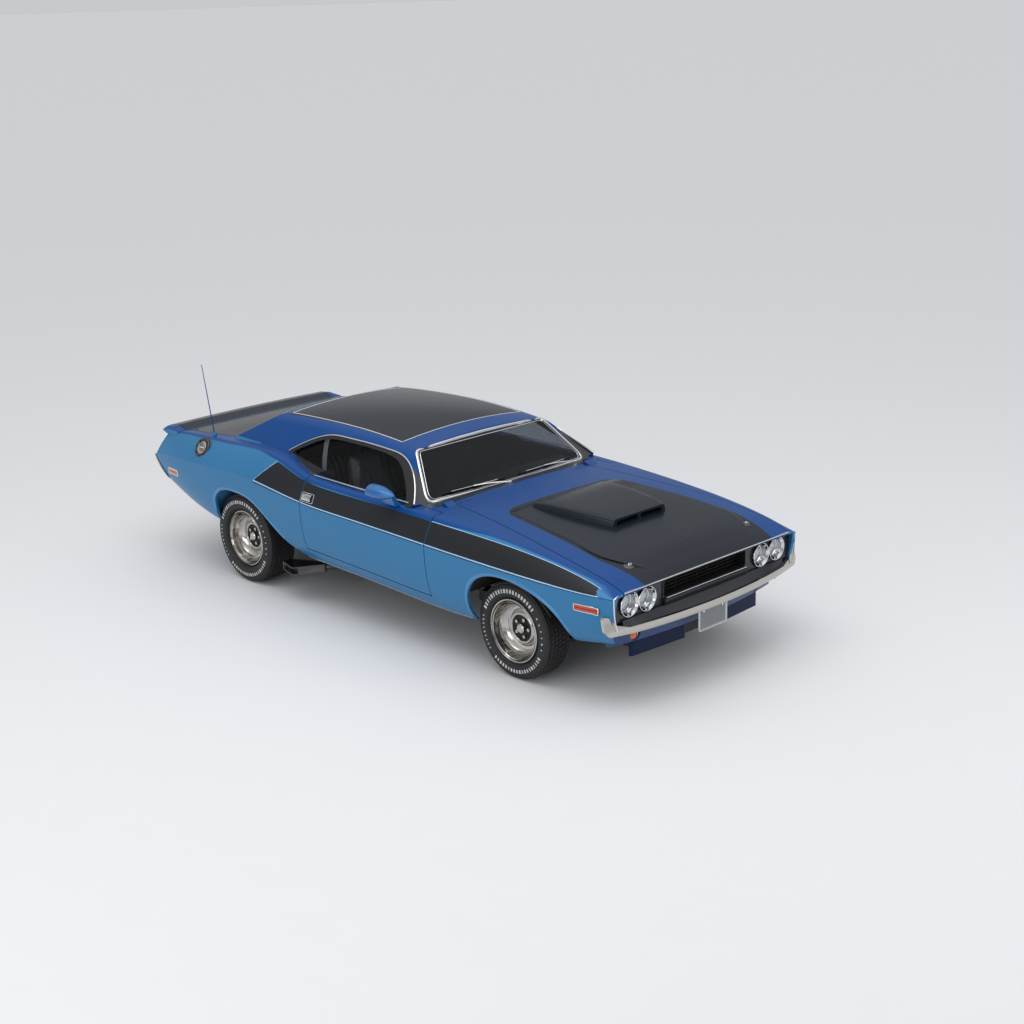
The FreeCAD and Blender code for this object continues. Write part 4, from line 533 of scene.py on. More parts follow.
def in_cabin(spots, ways):
    """1 for faces that line the inside of the cabin, from sill to roof, else 0."""
    x, y, z = spots.T
    side = np.abs(y)
    wall = np.where(z < 950, DOOR_INNER, BELT_Y(x) + house_slope(x) * (z - 950) - LINING)
    roof = RAIL_Z(x) + (ROOF_Z(x) - RAIL_Z(x)) * (1 - (side / RAIL_Y(x)) ** 2) - LINING
    under = (z < 1100) | ((z < roof) & (ways[:, 2] < 0.2))
    return (x > -1500) & (x < 640) & (side < wall) & (z > 300) & under


def reworked(mesh, change):
    """Runs a bmesh operation on a mesh."""
    work = bmesh.new()
    work.from_mesh(mesh)
    change(work)
    work.to_mesh(mesh)
    work.free()


def face_outwards(work):
    """Turns all faces to the outside."""
    bmesh.ops.recalc_face_normals(work, faces=work.faces)


def dressed(name, *materials, angle=32, painted=True):
    """A merged, smooth copy of a CAD node that stands for it."""
    mesh = frame["nodes"][name].data.copy()
    mesh.name = name + "_dressed"
    reworked(mesh, lambda work: bmesh.ops.remove_doubles(work, verts=work.verts, dist=2e-5))
    mesh.materials.clear()
    for mat in materials:
        mesh.materials.append(mat)
    mesh.polygons.foreach_set("material_index", [0] * len(mesh.polygons))
    if "custom_normal" in mesh.attributes:
        mesh.attributes.remove(mesh.attributes["custom_normal"])
    mesh.shade_smooth()
    mesh.set_sharp_from_angle(angle=math.radians(angle))
    if painted:
        paint_surface(mesh)
    made = bpy.data.objects.new(mesh.name, mesh)
    scene.collection.objects.link(made)
    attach(made, BODY_OF[name])
    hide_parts(name)
    return made


PAINTED = ("body_shell", "front_fender_left", "front_fender_right", "door_left", "door_right",
           "hood", "trunk_lid", "spoiler", "spoiler_ends", "mirror_right")
for name in PAINTED:
    made = dressed(name, NODE_FINISH[name], vinyl)
    if name == "hood":
        crease_hood(made.data)
    if name == "body_shell":
        shade_faces(made, in_cabin)
    if name.startswith("door"):
        shade_faces(made, lambda spots, ways: np.abs(spots[:, 1]) < DOOR_INNER)
for name in ("front_bumper", "rear_bumper"):
    dressed(name, bumper_chrome, angle=24, painted=False)
print("panels with smooth paint:", len(PAINTED), "and two bumpers")

# %% [markdown]
# ## Helpers for trim
# Nearly all trim on a car is a bead that follows a line, or a film that lies on a panel. Both are
# closed thin meshes built from rows of points, so they look right from every side.

# %% Trim helpers
def piece(name, points, faces, mat, like):
    """A mesh piece from points in mm, in its own finish, on the body of a CAD node."""
    mesh = bpy.data.meshes.new(name)
    mesh.from_pydata([tuple(p) for p in np.asarray(points, float) / 1000], [], faces)
    mesh.materials.append(mat)
    mesh.shade_smooth()
    mesh.set_sharp_from_angle(angle=math.radians(40))
    reworked(mesh, face_outwards)
    made = bpy.data.objects.new(name, mesh)
    scene.collection.objects.link(made)
    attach(made, BODY_OF[like])
    return made


def grid_faces(rows, columns, wrap_rows=False, wrap_columns=False):
    """Quads of a grid of points stored row by row."""
    faces = []
    for i in range(rows if wrap_rows else rows - 1):
        for j in range(columns if wrap_columns else columns - 1):
            a, b = i * columns, (i + 1) % rows * columns
            faces.append((a + j, a + (j + 1) % columns, b + (j + 1) % columns, b + j))
    return faces


def smooth_path(points, count):
    """Evenly spread points on a curve through the given ones."""
    points = np.asarray(points, float)
    run = np.concatenate([[0], np.cumsum(np.linalg.norm(np.diff(points, axis=0), axis=1))])
    at = np.linspace(0, run[-1], count)
    return np.column_stack([line(*zip(run, column))(at) for column in points.T])


def bead(name, path, outward, width, height, mat, like, wrap=False, lift=0.0, around=8):
    """A bar with a rounded section along a path; outward is the direction that it stands up in."""
    path = np.asarray(path, float)
    outward = unit(np.broadcast_to(outward, path.shape))
    if wrap:
        ahead = unit(np.roll(path, -1, 0) - np.roll(path, 1, 0))
    else:
        ahead = unit(np.gradient(path, axis=0))
    across = unit(np.cross(ahead, outward))
    turn = np.linspace(0, 2 * np.pi, around, endpoint=False)
    ring = path[:, None] + across[:, None] * np.cos(turn)[None, :, None] * width / 2
    ring = ring + outward[:, None] * (np.sin(turn) * height / 2 + lift)[None, :, None]
    count = len(path)
    faces = grid_faces(count, around, wrap_rows=wrap, wrap_columns=True)
    if not wrap:
        faces += [tuple(range(around)), tuple(range((count - 1) * around, count * around))]
    return piece(name, ring.reshape(-1, 3), faces, mat, like)


def film(name, top, outward, thick, mat, like):
    """A thin closed sheet from a grid of surface points, sunk a little into the panel."""
    rows, columns = top.shape[:2]
    outward = unit(outward)
    layers = np.concatenate([(top + outward * thick).reshape(-1, 3),
                             (top - outward * 0.6).reshape(-1, 3)])
    faces = grid_faces(rows, columns)
    size = rows * columns
    faces += [tuple(size + v for v in reversed(face)) for face in faces]
    rim = [j for j in range(columns)] + [i * columns + columns - 1 for i in range(1, rows)]
    rim += [(rows - 1) * columns + j for j in range(columns - 2, -1, -1)]
    rim += [i * columns for i in range(rows - 2, 0, -1)]
    for a, b in zip(rim, rim[1:] + rim[:1]):
        faces.append((a, b, size + b, size + a))
    return piece(name, layers, faces, mat, like)


def on_strip(strips, number, x, t):
    """Points and outward directions on a body strip for arrays of x and t of one shape."""
    x, t = np.broadcast_arrays(np.asarray(x, float), np.asarray(t, float))

    def at(x, t):
        return np.concatenate([x[..., None], strip_at(strips, number, x, t)], -1)

    run = at(x + 4, t) - at(x - 4, t)
    rise = at(x, t + 0.01) - at(x, t - 0.01)
    return at(x, t), unit(np.cross(rise, run))


def on_both(make, name, spots, ways, *sizes, like, **more):
    """Makes a piece on the left side and its mirror image on the right."""
    for side, sign in SIDES:
        node = like + "_" + side if like in SIDED_NODES else like
        make(name + "_" + side, np.asarray(spots) * (1, sign, 1), np.asarray(ways) * (1, sign, 1),
             *sizes, node, **more)


def trees_of(*names):
    """A tree of the faces of some CAD nodes, in mm, for finding where a line meets them."""
    points, faces = [], []
    for name in names:
        mesh = frame["nodes"][name].data
        start = len(points)
        points += [tuple(1000 * c for c in v.co) for v in mesh.vertices]
        faces += [tuple(start + v for v in face.vertices) for face in mesh.polygons]
    return BVHTree.FromPolygons(points, faces)


def cast(tree, starts, way):
    """Where rays from the starts meet the tree, and the face directions there."""
    spots, normals = [], []
    for start in starts:
        hit, normal, _, _ = tree.ray_cast(Vector(start), Vector(way))
        if hit is None:
            hit, normal, _, _ = tree.find_nearest(Vector(start))
        spots.append(tuple(hit))
        normals.append(tuple(normal))
    return np.array(spots), np.array(normals)


print("helpers for beads, films and rays")

# %% [markdown]
# ## The black stripe
# A matt film covers the shoulder from the crease up, from behind the door to the nose. Under it
# runs a light blue line that is a painted highlight along the crease, and a dark pinstripe under
# that. It is built on the body's own shoulder surface and is cut where the door's gaps are, so the
# door takes its part along when it opens.

# %% Stripe
STRIPE_TOP = line((-1100, 0.97), (1700, 0.97), (2000, 0.955), (2120, 0.88), (2220, 0.74),
                  (2290, 0.56), (2330, 0.36), (2346, 0.2))
STRIPE_LOW = 0.045
SLANT_X = -1020.0
SLANT_RUN = 186.0
STRIPE_PARTS = [("body_shell", None, DOOR_REAR - GAP - 1), ("door", DOOR_REAR + 1, DOOR_FRONT - 1),
                ("front_fender", DOOR_FRONT + GAP + 1, 2344)]
for part, x0, x1 in STRIPE_PARTS:
    up = np.linspace(0, 1, 9)[None, :]
    start = SLANT_X + SLANT_RUN * up if x0 is None else x0 + 0 * up
    x = start + (x1 - start) * np.linspace(0, 1, 90)[:, None]
    t = STRIPE_LOW + (STRIPE_TOP(x) - STRIPE_LOW) * up
    on_both(film, "stripe_" + part, *on_strip(body_strips, 1, x, t), 0.4, film_black, like=part)
    x = np.linspace(SLANT_X + 4 if x0 is None else x0, x1, 90)
    # The bright line is a painted highlight along the crease; the dark line is a pinstripe.
    for label, t, width, mat in (("bright", 0.016, 7.0, silver_line), ("dark", -0.03, 5.0, matt_black)):
        on_both(bead, label + "_line_" + part, *on_strip(body_strips, 1, x, t), width, 1.2, mat,
                like=part)

up = np.linspace(0.02, 0.97, 24)
along = np.linspace(DOOR_FRONT + GAP + 1, 2335, 110)
for name, number, x, t, width, height, mat, like in (
        ("stripe_end_line", 1, SLANT_X - 4 + SLANT_RUN * up, up, 4.5, 1.4, silver_line, "body_shell"),
        ("fender_top_line", 1, along, STRIPE_TOP(along) + 0.018, 4.0, 1.4, silver_line, "front_fender"),
        ("quarter_edge_line", 0, np.linspace(-2200, -1640, 40), 0.03, 7.0, 2.0, brushed, "body_shell"),
        ("sill_strip", 0, np.linspace(-560, 1120, 60), 0.02, 11.0, 5.0, brushed, "body_shell")):
    on_both(bead, name, *on_strip(body_strips, number, x, t), width, height, mat, like=like)
print("stripes and pinstripes on both sides")

# %% [markdown]
# ## Wheel-arch lips
# Each opening has a rolled lip that catches the light, and its paint is a lighter blue than the flank
# as a painted highlight. It is a flat bead just outside the opening, found by casting rays at the
# panels from the side.

# %% Arch lips
FLANK_START = 1200.0
ARCHES = {"front": (F, [(-345, 300), (-348, 430), (-314, 548), (-228, 642), (-108, 688), (90, 691),
                        (266, 650), (388, 591), (464, 520), (503, 445)]),
          "rear": (R, [(-262, 490), (-247, 612), (-158, 692), (30, 719), (194, 701), (317, 646),
                       (438, 561), (566, 460)])}
for side, sign in SIDES:
    flank = trees_of("body_shell", "front_fender_" + side, "door_" + side)
    for end, (axle, points) in ARCHES.items():
        starts = [(x, sign * FLANK_START, z)
                  for x, z in smooth_path([(axle + x, z) for x, z in points], 70)]
        spots, ways = cast(flank, starts, (0, -sign, 0))
        outside = np.abs(spots[:, 1]) > 800
        bead("arch_lip_" + end + "_" + side, spots[outside], ways[outside], 26.0, 11.0, lip_blue,
             "front_fender_" + side if end == "front" else "body_shell", lift=-0.5)
print("arch lips on four openings")

# %% [markdown]
# ## Bright trim round the glass
# The windshield sits in black rubber inside a bright surround. The side glass has a bright drip
# rail over it and a belt strip under it. Each follows the opening in its panel.

# %% Glass trim
def corner_outline(corners, radius, count=160):
    """Points along a closed outline with rounded corners."""
    corners = np.asarray(corners, float)
    points = []
    for before, here, after in zip(np.roll(corners, 1, 0), corners, np.roll(corners, -1, 0)):
        back, ahead = unit(before - here), unit(after - here)
        half = math.acos(np.clip(back @ ahead, -1, 1)) / 2
        cut = radius / math.tan(half)
        a, b = here + back * cut, here + ahead * cut
        for s in np.linspace(0, 1, 9):
            points.append(a * (1 - s) ** 2 + here * 2 * s * (1 - s) + b * s ** 2)
    points = np.array(points + points[:1])
    run = np.concatenate([[0], np.cumsum(np.linalg.norm(np.diff(points, axis=0), axis=1))])
    at = np.linspace(0, run[-1], count, endpoint=False)
    return np.column_stack([np.interp(at, run, points[:, k]) for k in range(2)])


SCREEN_FOOT = (718.0, 948.0)
SCREEN_TOP = (572.0, 1218.0, 11.0)
screen_opening = trees_of("body_shell", "windshield")
for label, grow, width, height, mat in (("screen_surround", 18, 21.0, 10.0, chrome),
                                        ("screen_inner_line", -6, 6.0, 8.0, chrome),
                                        ("screen_rubber", 6, 9.0, 8.0, seal_rubber)):
    half, top, drop = SCREEN_TOP
    foot_y, foot_z = SCREEN_FOOT[0] + grow, SCREEN_FOOT[1] - 0.4 * grow
    corners = [(-foot_y, foot_z), (foot_y, foot_z)]
    for y in (half, 400, 200, 0, -200, -400, -half):
        z = top + grow * 0.9 - (drop + 0.6 * grow) * (y / half) ** 2
        corners.append((y + (np.sign(y) * grow * 0.8 if abs(y) == half else 0), z))
    starts = [(1600, y, z) for y, z in corner_outline(corners, 30)]
    spots, ways = cast(screen_opening, starts, (-1, 0, 0))
    bead(label, spots, unit(ways + (0.6, 0, 0.2)), width, height, mat, "body_shell", wrap=True)
outline = corner_outline([(-632, 1034), (632, 1034), (534, 1236), (-534, 1236)], 44)
spots, ways = cast(trees_of("body_shell", "rear_window"), [(-2400, y, z) for y, z in outline],
                   (1, 0, 0))
bead("rear_window_surround", spots, unit(ways + (-0.5, 0, 0.3)), 15.0, 8.0, chrome, "body_shell",
     wrap=True)


def house_side(x, z):
    """A point on the glasshouse's flat side at x and height z, and its direction."""
    slope = house_slope(x)
    spot = np.stack([x, BELT_Y(x) + slope * (z - 950), z], -1)
    return spot, unit(np.stack([0 * x, 1 + 0 * x, -slope], -1))


SEAL_PLACES = (F - 1400, F - 1260, F - 1100, F - 905)
SEAL_WIDTHS = (24.0, 34.0, 58.0, 64.0)
DRIP = [(F - 905, 950), (F - 935, 985), (F - 1232, 1182), (F - 1360, 1197), (F - 1600, 1206),
        (F - 1800, 1206), (F - 1985, 1196), (R + 690, 1164), (R + 560, 1108), (R + 448, 1046)]
outline = smooth_path(DRIP, 120)
on_both(bead, "drip_rail", *house_side(*outline.T), 10.0, 13.0, chrome, like="body_shell", lift=3.0)
ahead = unit(np.gradient(outline, axis=0))
inward = np.column_stack([-ahead[:, 1], ahead[:, 0]])
width = np.interp(outline[:, 0], SEAL_PLACES, SEAL_WIDTHS)
band = outline[:, None] + inward[:, None] * width[:, None, None] * np.linspace(0, 1, 5)[None, :, None]
on_both(film, "window_seal", *house_side(band[..., 0], band[..., 1]), 2.2, matt_black,
        like="body_shell")
x = np.linspace(DOOR_REAR + 8, F - 962, 60)
spots, ways = house_side(x, 951 + 0 * x)
on_both(bead, "belt_strip", spots, unit(ways + (0, 0, 0.6)), 10.0, 7.0, brushed, like="door", lift=1.5)
print("bright trim round the glass")

# %% [markdown]
# ## Roof panel border and hood lip
# A narrow light border frames the black roof panel, and a bright lip runs across the whole nose
# above the lamps.

# %% Border and lip
def roof_point(x, y):
    """Points on the roof at x and y, y towards the left, and directions."""
    inner = house_strips(x)[2][0][0]
    return on_strip(house_strips, 2, x, np.clip((1 - y / inner) / 2, 0, 1))


rows = np.linspace(ROOF_REAR, ROOF_FRONT, 60)
edge_y = np.minimum(np.interp(rows, *zip(*ROOF_PANEL)), house_strips(rows)[2][0][0])
on_both(bead, "roof_border", *roof_point(rows, edge_y), 9.0, 3.0, pale_trim, like="body_shell")
across = np.linspace(-545, 545, 50)
for label, x in (("front", ROOF_FRONT), ("rear", ROOF_REAR)):
    spots, _ = roof_point(x + 0 * across, np.abs(across))
    spots[:, 1] *= np.sign(across)
    bead("roof_border_" + label, spots, (0, 0, 1), 9.0, 3.0, pale_trim, "body_shell")
y = np.linspace(-778, 778, 60)
spots, _ = on_strip(body_strips, 3, LIP_X - 5 + 0 * y, (1 - y / 756) / 2)
spots = np.column_stack([LIP_X + 0 * y, y, np.minimum(spots[:, 2], 748) - 2])
bead("nose_lip", spots, (1, 0, 0.25), 11.0, 9.0, chrome, "grille", lift=1.0)
# The chrome beads down the fender front corners stand in for a highlight on the paint: painted highlight.
low, high = (on_strip(body_strips, number, LIP_X - 5, t)
             for number, t in ((0, np.linspace(0.42, 1.0, 30)), (1, np.linspace(0.04, 0.9, 12))))
on_both(bead, "fender_corner", *map(np.vstack, zip(low, high)), 9.0, 7.0, chrome, like="front_fender",
        lift=-1.0)
print("roof border, nose lip and fender corners")

# %% [markdown]
# ## Rings of small blocks
# Tread blocks, the white bars of a tyre wall and the bolts of the fuel cap all repeat round a circle.
# One Geometry Nodes tree spreads points round a ring, puts a block on each and makes them real.

# %% Ring tree
RING_INPUTS = (("Count", "Int"), ("Radius", "Float"), ("Start", "Float"), ("End", "Float"),
               ("Along", "Float"), ("Size", "Vector"), ("Twist", "Float"), ("Vary", "Float"),
               ("Finish", "Material"))

RING_PLAIN = {"Start": 0.0, "End": 360.0, "Along": 0.0, "Twist": 0.0, "Vary": 0.0}


def ring_tree():
    """Blocks round the Y axis, from angle Start to End, whose own Z points outwards."""
    tree = bpy.data.node_groups.new("ring_of_blocks", "GeometryNodeTree")
    for label, kind in RING_INPUTS:
        tree.interface.new_socket(label, in_out="INPUT", socket_type="NodeSocket" + kind)
    tree.interface.new_socket("Geometry", in_out="OUTPUT", socket_type="NodeSocketGeometry")
    given = add(tree, "NodeGroupInput").outputs
    span = maths(tree, "SUBTRACT", given["End"], given["Start"])
    share = maths(tree, "DIVIDE", add(tree, "GeometryNodeInputIndex").outputs[0], given["Count"])
    angle = maths(tree, "ADD", given["Start"], maths(tree, "MULTIPLY", span, share))
    spot = add(tree, "ShaderNodeCombineXYZ", Y=given["Along"],
               X=maths(tree, "MULTIPLY", given["Radius"], maths(tree, "SINE", angle)),
               Z=maths(tree, "MULTIPLY", given["Radius"], maths(tree, "COSINE", angle)))
    points = add(tree, "GeometryNodeMeshLine", Count=given["Count"])
    moved = add(tree, "GeometryNodeSetPosition", Geometry=points.outputs["Mesh"],
                Position=spot.outputs["Vector"])
    block = add(tree, "GeometryNodeMeshCube", Size=given["Size"])
    twist = add(tree, "ShaderNodeCombineXYZ", Z=given["Twist"])
    turned = add(tree, "GeometryNodeTransform", Geometry=block.outputs["Mesh"],
                 Rotation=twist.outputs["Vector"])
    facing = add(tree, "ShaderNodeCombineXYZ", Y=angle)
    outwards = add(tree, "FunctionNodeEulerToRotation", Euler=facing.outputs["Vector"])
    chance = add(tree, "FunctionNodeRandomValue", Seed=7)
    chance.data_type = "FLOAT"
    low, high = [s for s in chance.inputs if s.enabled and s.name in ("Min", "Max")]
    put(tree, maths(tree, "SUBTRACT", 1.0, given["Vary"]), low)
    put(tree, maths(tree, "ADD", 1.0, given["Vary"]), high)
    stretch = add(tree, "ShaderNodeCombineXYZ", X=next(s for s in chance.outputs if s.enabled),
                  Y=1.0, Z=1.0)
    placed = add(tree, "GeometryNodeInstanceOnPoints", Points=moved.outputs["Geometry"],
                 Instance=turned.outputs["Geometry"], Rotation=outwards.outputs[0],
                 Scale=stretch.outputs["Vector"])
    real = add(tree, "GeometryNodeRealizeInstances", Geometry=placed.outputs["Instances"])
    painted = add(tree, "GeometryNodeSetMaterial", Geometry=real.outputs["Geometry"],
                  Material=given["Finish"])
    add(tree, "NodeGroupOutput", Geometry=painted.outputs["Geometry"])
    return tree


RING = ring_tree()


def ring_blocks(**sizes):
    """Points in mm and faces of one ring; sizes are given in mm and angles in degrees."""
    holder = bpy.data.objects.new("ring", bpy.data.meshes.new("ring"))
    scene.collection.objects.link(holder)
    made = holder.modifiers.new("ring", "NODES")
    made.node_group = RING
    sizes = {**RING_PLAIN, **sizes}
    for item in RING.interface.items_tree:
        if item.in_out == "INPUT":
            value = sizes[item.name]
            turned = item.name in ("Start", "End", "Twist")
            made[item.identifier] = math.radians(value) if turned else value
    bpy.context.view_layer.update()
    shown = holder.evaluated_get(bpy.context.evaluated_depsgraph_get())
    mesh = bpy.data.meshes.new_from_object(shown)
    points = read(mesh.vertices, "co")
    faces = [tuple(face.vertices) for face in mesh.polygons]
    bpy.data.objects.remove(holder)
    bpy.data.meshes.remove(mesh)
    return points, faces


def joined(parts):
    """Points and faces of several meshes as one."""
    points, faces, start = [], [], 0
    for more, quads in parts:
        points.append(np.asarray(more, float))
        faces += [tuple(start + v for v in face) for face in quads]
        start += len(more)
    return np.vstack(points), faces


def around_axis(axis):
    """Two directions that complete an axis."""
    axis = unit(axis)
    side = unit(np.cross(axis, (0, 0, 1) if abs(axis[2]) < 0.9 else (1, 0, 0)))
    return axis, side, np.cross(axis, side)


def lathe(name, centre, axis, profile, mat, like, steps=96):
    """A closed (radius, along) profile turned about an axis."""
    axis, side, third = around_axis(axis)
    turn = np.linspace(0, 2 * np.pi, steps, endpoint=False)
    profile = np.asarray(profile, float)
    spokes = np.cos(turn)[:, None] * side + np.sin(turn)[:, None] * third
    rows = profile[:, 0, None, None] * spokes + profile[:, 1, None, None] * axis
    points = rows.reshape(-1, 3) + np.asarray(centre, float)
    faces = grid_faces(len(profile), steps, wrap_rows=True, wrap_columns=True)
    return piece(name, points, faces, mat, like)


print("ring tree with", len(RING.nodes), "nodes")

# %% [markdown]
# ## Tyres
# A tyre is a smooth rubber wall with fine ribs, a grooved tread of small blocks, and raised white
# marks on the wall: tall bars in two arcs and short dashes between them.

# %% Tyres
TREAD_DEPTH = 8.0
TREAD_COUNT = 66
# Each arc of white bars: first and last angle, count, height, width and how far the width varies.
BAR_ARCS = ((-66, 50, 20, 25.0, 12.5, 0.35), (118, 222, 19, 22.0, 11.0, 0.35),
            (58, 112, 6, 10.0, 8.0, 0.3), (232, 286, 9, 12.0, 7.0, 0.3))


def tyre_profile(radius, wall):
    """The wall as one smooth curve from bead to shoulder, and a tread floor with grooves."""
    outside = smooth_path([(212, 84), (223, wall - 8), (radius - 72, wall), (radius - 44, wall - 4),
                           (radius - 16, wall - 16), (radius - 9, wall - 26)], 22)
    ribbed = []
    for k, (r, y) in enumerate(outside):
        ribbed.append((r, y))
        if k in (3, 5, 15, 17):
            ribbed += [(r + 0.6, y + 1.0), (r + 1.8, y + 1.0), (r + 2.4, y)]
    ribbed.append((radius - TREAD_DEPTH, wall - 32))
    return [(196.5, -78), (196.5, 78)] + ribbed + [(r, -y) for r, y in reversed(ribbed)]


for end, (axle, track, radius, wall) in WHEELS.items():
    rows = np.linspace(-(wall - 44), wall - 44, 5)
    width = (rows[1] - rows[0]) - 5.0
    length = 2 * math.pi * radius / TREAD_COUNT - 5.0
    tread = [ring_blocks(Count=TREAD_COUNT, Radius=radius - TREAD_DEPTH / 2 - 0.6, Start=2.0 * k,
                         End=360.0 + 2.0 * k, Along=float(y), Twist=(14.0, -14.0)[k % 2],
                         Size=(length, width, TREAD_DEPTH), Finish=rubber)
             for k, y in enumerate(rows)]
    tread += [ring_blocks(Count=TREAD_COUNT, Radius=radius - 15.0, Along=float(y),
                          Size=(length + 1, 13.0, 15.0), Finish=rubber)
              for y in (-(wall - 24), wall - 24)]
    bars = [ring_blocks(Count=count, Radius=radius - 57.0, Start=first, End=last,
                        Along=wall - 1.4, Size=(size, 4.4, tall), Vary=vary, Finish=raised_white)
            for first, last, count, tall, size, vary in BAR_ARCS]
    for side, sign in SIDES:
        like = "tyre_" + end + "_" + side
        centre = np.array([axle, sign * track, radius])
        profile = tyre_profile(radius, wall)
        wall_piece = lathe(like + "_rubber", centre, (0, 1, 0), profile, rubber, like, 128)
        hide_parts(like)
        for label, mat, (points, faces) in (("tread", rubber, joined(tread)),
                                            ("white_bars", raised_white, joined(bars))):
            piece(label + "_" + end + "_" + side, points * (1, sign, 1) + centre, faces, mat, like)
print("tyres with", TREAD_COUNT * 7, "tread blocks each")

# %% [markdown]
# ## Wheels
# The rims are chromed and deep. Only the cup round the nuts and the brake drum behind it are dark,
# and a thin dark groove runs round the outer lip.

# %% Wheels
cup_black = finish("cup_black", (0.006, 0.006, 0.007), 0.2, 0.4)
CUP_R = 86.0
CUP_FLOOR = 9.5
GROOVE = (189.0, 196.0)


def dark_parts(end, sign):
    """Chooses 1 for a rim's cup, its drum side and its groove, else 0."""
    axle, track, radius, _ = WHEELS[end]

    def choose(spots, ways):
        out = np.hypot(spots[:, 0] - axle, spots[:, 2] - radius)
        deep = sign * spots[:, 1] - track
        groove = (GROOVE[0] < out) & (out < GROOVE[1]) & (88 < deep) & (deep < 97)
        return groove | ((out < CUP_R) & (deep < CUP_FLOOR)) | (deep < -8)

    return choose


for end in WHEELS:
    for side, sign in SIDES:
        made = dressed("rim_" + end + "_" + side, wheel_chrome, cup_black, angle=24, painted=False)
        shade_faces(made, dark_parts(end, sign))
print("four wheels")

# %% [markdown]
# ## Nose
# Between the lamps sits a deep black mouth with a thin bright line along its lower edge. A dark
# panel slopes from there to the bumper: painted shade over the body-colour filler. Under the bumper
# the apron is a darker blue as painted shade, and the two chin spoilers are navy.

# %% Nose
# A near-black colour for the body-colour filler and the grille's face in shade: painted shade.
shaded_nose = finish("slate_panel", (0.011, 0.013, 0.018), rough=0.36, coat=0.2)
navy = finish("navy_chin", (0.003, 0.012, 0.045), rough=0.42, ior=1.25)
deep_black = finish("grille_black", (0.003, 0.003, 0.0035), rough=0.7)
CHIN_TOP = 372.0
FILLER_LOW = 499.0
GRILLE_HALF = 388.0
GRILLE_LOW = 610.0
GRILLE_HIGH = 716.0

# The apron's darker blue and the filler's dark colour above it are painted shade; the chins are navy.
valance = dressed("front_valance", apron_blue, shaded_nose, navy)
shade_faces(valance, lambda spots, ways: (spots[:, 2] > FILLER_LOW) + 2 * (spots[:, 2] < CHIN_TOP))
# The grille's front faces take the same painted shade as the filler.
grille = dressed("grille", shaded_nose, deep_black, angle=30, painted=False)
shade_faces(grille, lambda spots, ways: spots[:, 0] < FACE_X - 3)
y = np.linspace(-GRILLE_HALF + 7, GRILLE_HALF - 7, 60)
bead("grille_lower_line", np.column_stack([FACE_X + 25 + 0 * y, y, GRILLE_LOW + 1 + 0 * y]), (1, 0, 0),
     7.0, 5.0, chrome, "grille")
frame_line = corner_outline([(-GRILLE_HALF, GRILLE_LOW), (GRILLE_HALF, GRILLE_LOW),
                             (GRILLE_HALF, GRILLE_HIGH), (-GRILLE_HALF, GRILLE_HIGH)], 16)
bead("grille_frame", [(FACE_X + 7, y, z) for y, z in frame_line], (1, 0, 0), 4.0, 3.0, satin_black,
     "grille", wrap=True)
print("nose panels")

# %% [markdown]
# ## Head lamps
# Each lamp is a bright flared ring round a deep bowl. The lens is a shallow dome of glass with
# upright flutes, and the reflector behind it makes it look like cut silver.

# %% Head lamps
LENS_R = 62.0
LENS_FRONT = FACE_X - 29.0
lens_glass = finish("lamp_lens", (0.5, 0.52, 0.55), 0.85, 0.12, 0.8, vary=0.3, scale=28.0)
dressed("headlamps", bowl_chrome, angle=24, painted=False)


def lens_dome(name, y, z):
    """A fluted dome: rings of points whose depth ripples in y."""
    rings, steps = 22, 144
    points = [(LENS_FRONT, y, z)]
    for r in np.linspace(0, LENS_R, rings)[1:]:
        for turn in np.linspace(0, 2 * np.pi, steps, endpoint=False):
            dy, dz = r * math.cos(turn), r * math.sin(turn)
            flute = 1.1 * math.sin(dy * 0.62) * (1 if abs(dz) < 22 else 0.5)
            step = 1.2 if abs(dz) > 22 else 0.0
            depth = 12 * (r / LENS_R) ** 2 - (flute + step) * min(1.0, (LENS_R - r) / 8)
            points.append((LENS_FRONT - depth, y + dy, z + dz))
    last, back = 1 + (rings - 2) * steps, len(points)
    points.append((LENS_FRONT - 14, y, z))
    faces = [tuple(1 + v for v in face) for face in grid_faces(rings - 1, steps, wrap_columns=True)]
    for j in range(steps):
        ahead = (j + 1) % steps
        faces += [(0, 1 + j, 1 + ahead), (last + ahead, last + j, back)]
    return piece(name, points, faces, lens_glass, "headlamps")


for label, (y, z) in LAMPS.items():
    for side, sign in SIDES:
        lens_dome("lamp_lens_" + label + "_" + side, sign * y, z)
    on_both(lathe, "lamp_rim_" + label, (FACE_X, y, z), (1, 0, 0),
            [(LAMP_R + 9, 12), (LAMP_R + 10.5, 14.5), (LAMP_R + 9, 17), (LAMP_R + 6, 17.5),
             (LAMP_R + 4, 15), (LAMP_R + 5, 12)], chrome, like="headlamps")
    on_both(lathe, "lens_ring_" + label, (LENS_FRONT - 11, y, z), (1, 0, 0),
            [(LENS_R + 1, 0), (LENS_R + 1, 5), (LENS_R - 1, 7), (LENS_R - 4, 5), (LENS_R - 4, 0)],
            chrome, like="headlamps")
print("four head lamps")

# %% [markdown]
# ## Turn lamps, markers and plate
# The round turn lamps are amber domes in a dark ring. The marker lamps have bright frames. The
# number plate is bare, with a raised pale frame and two bolts.

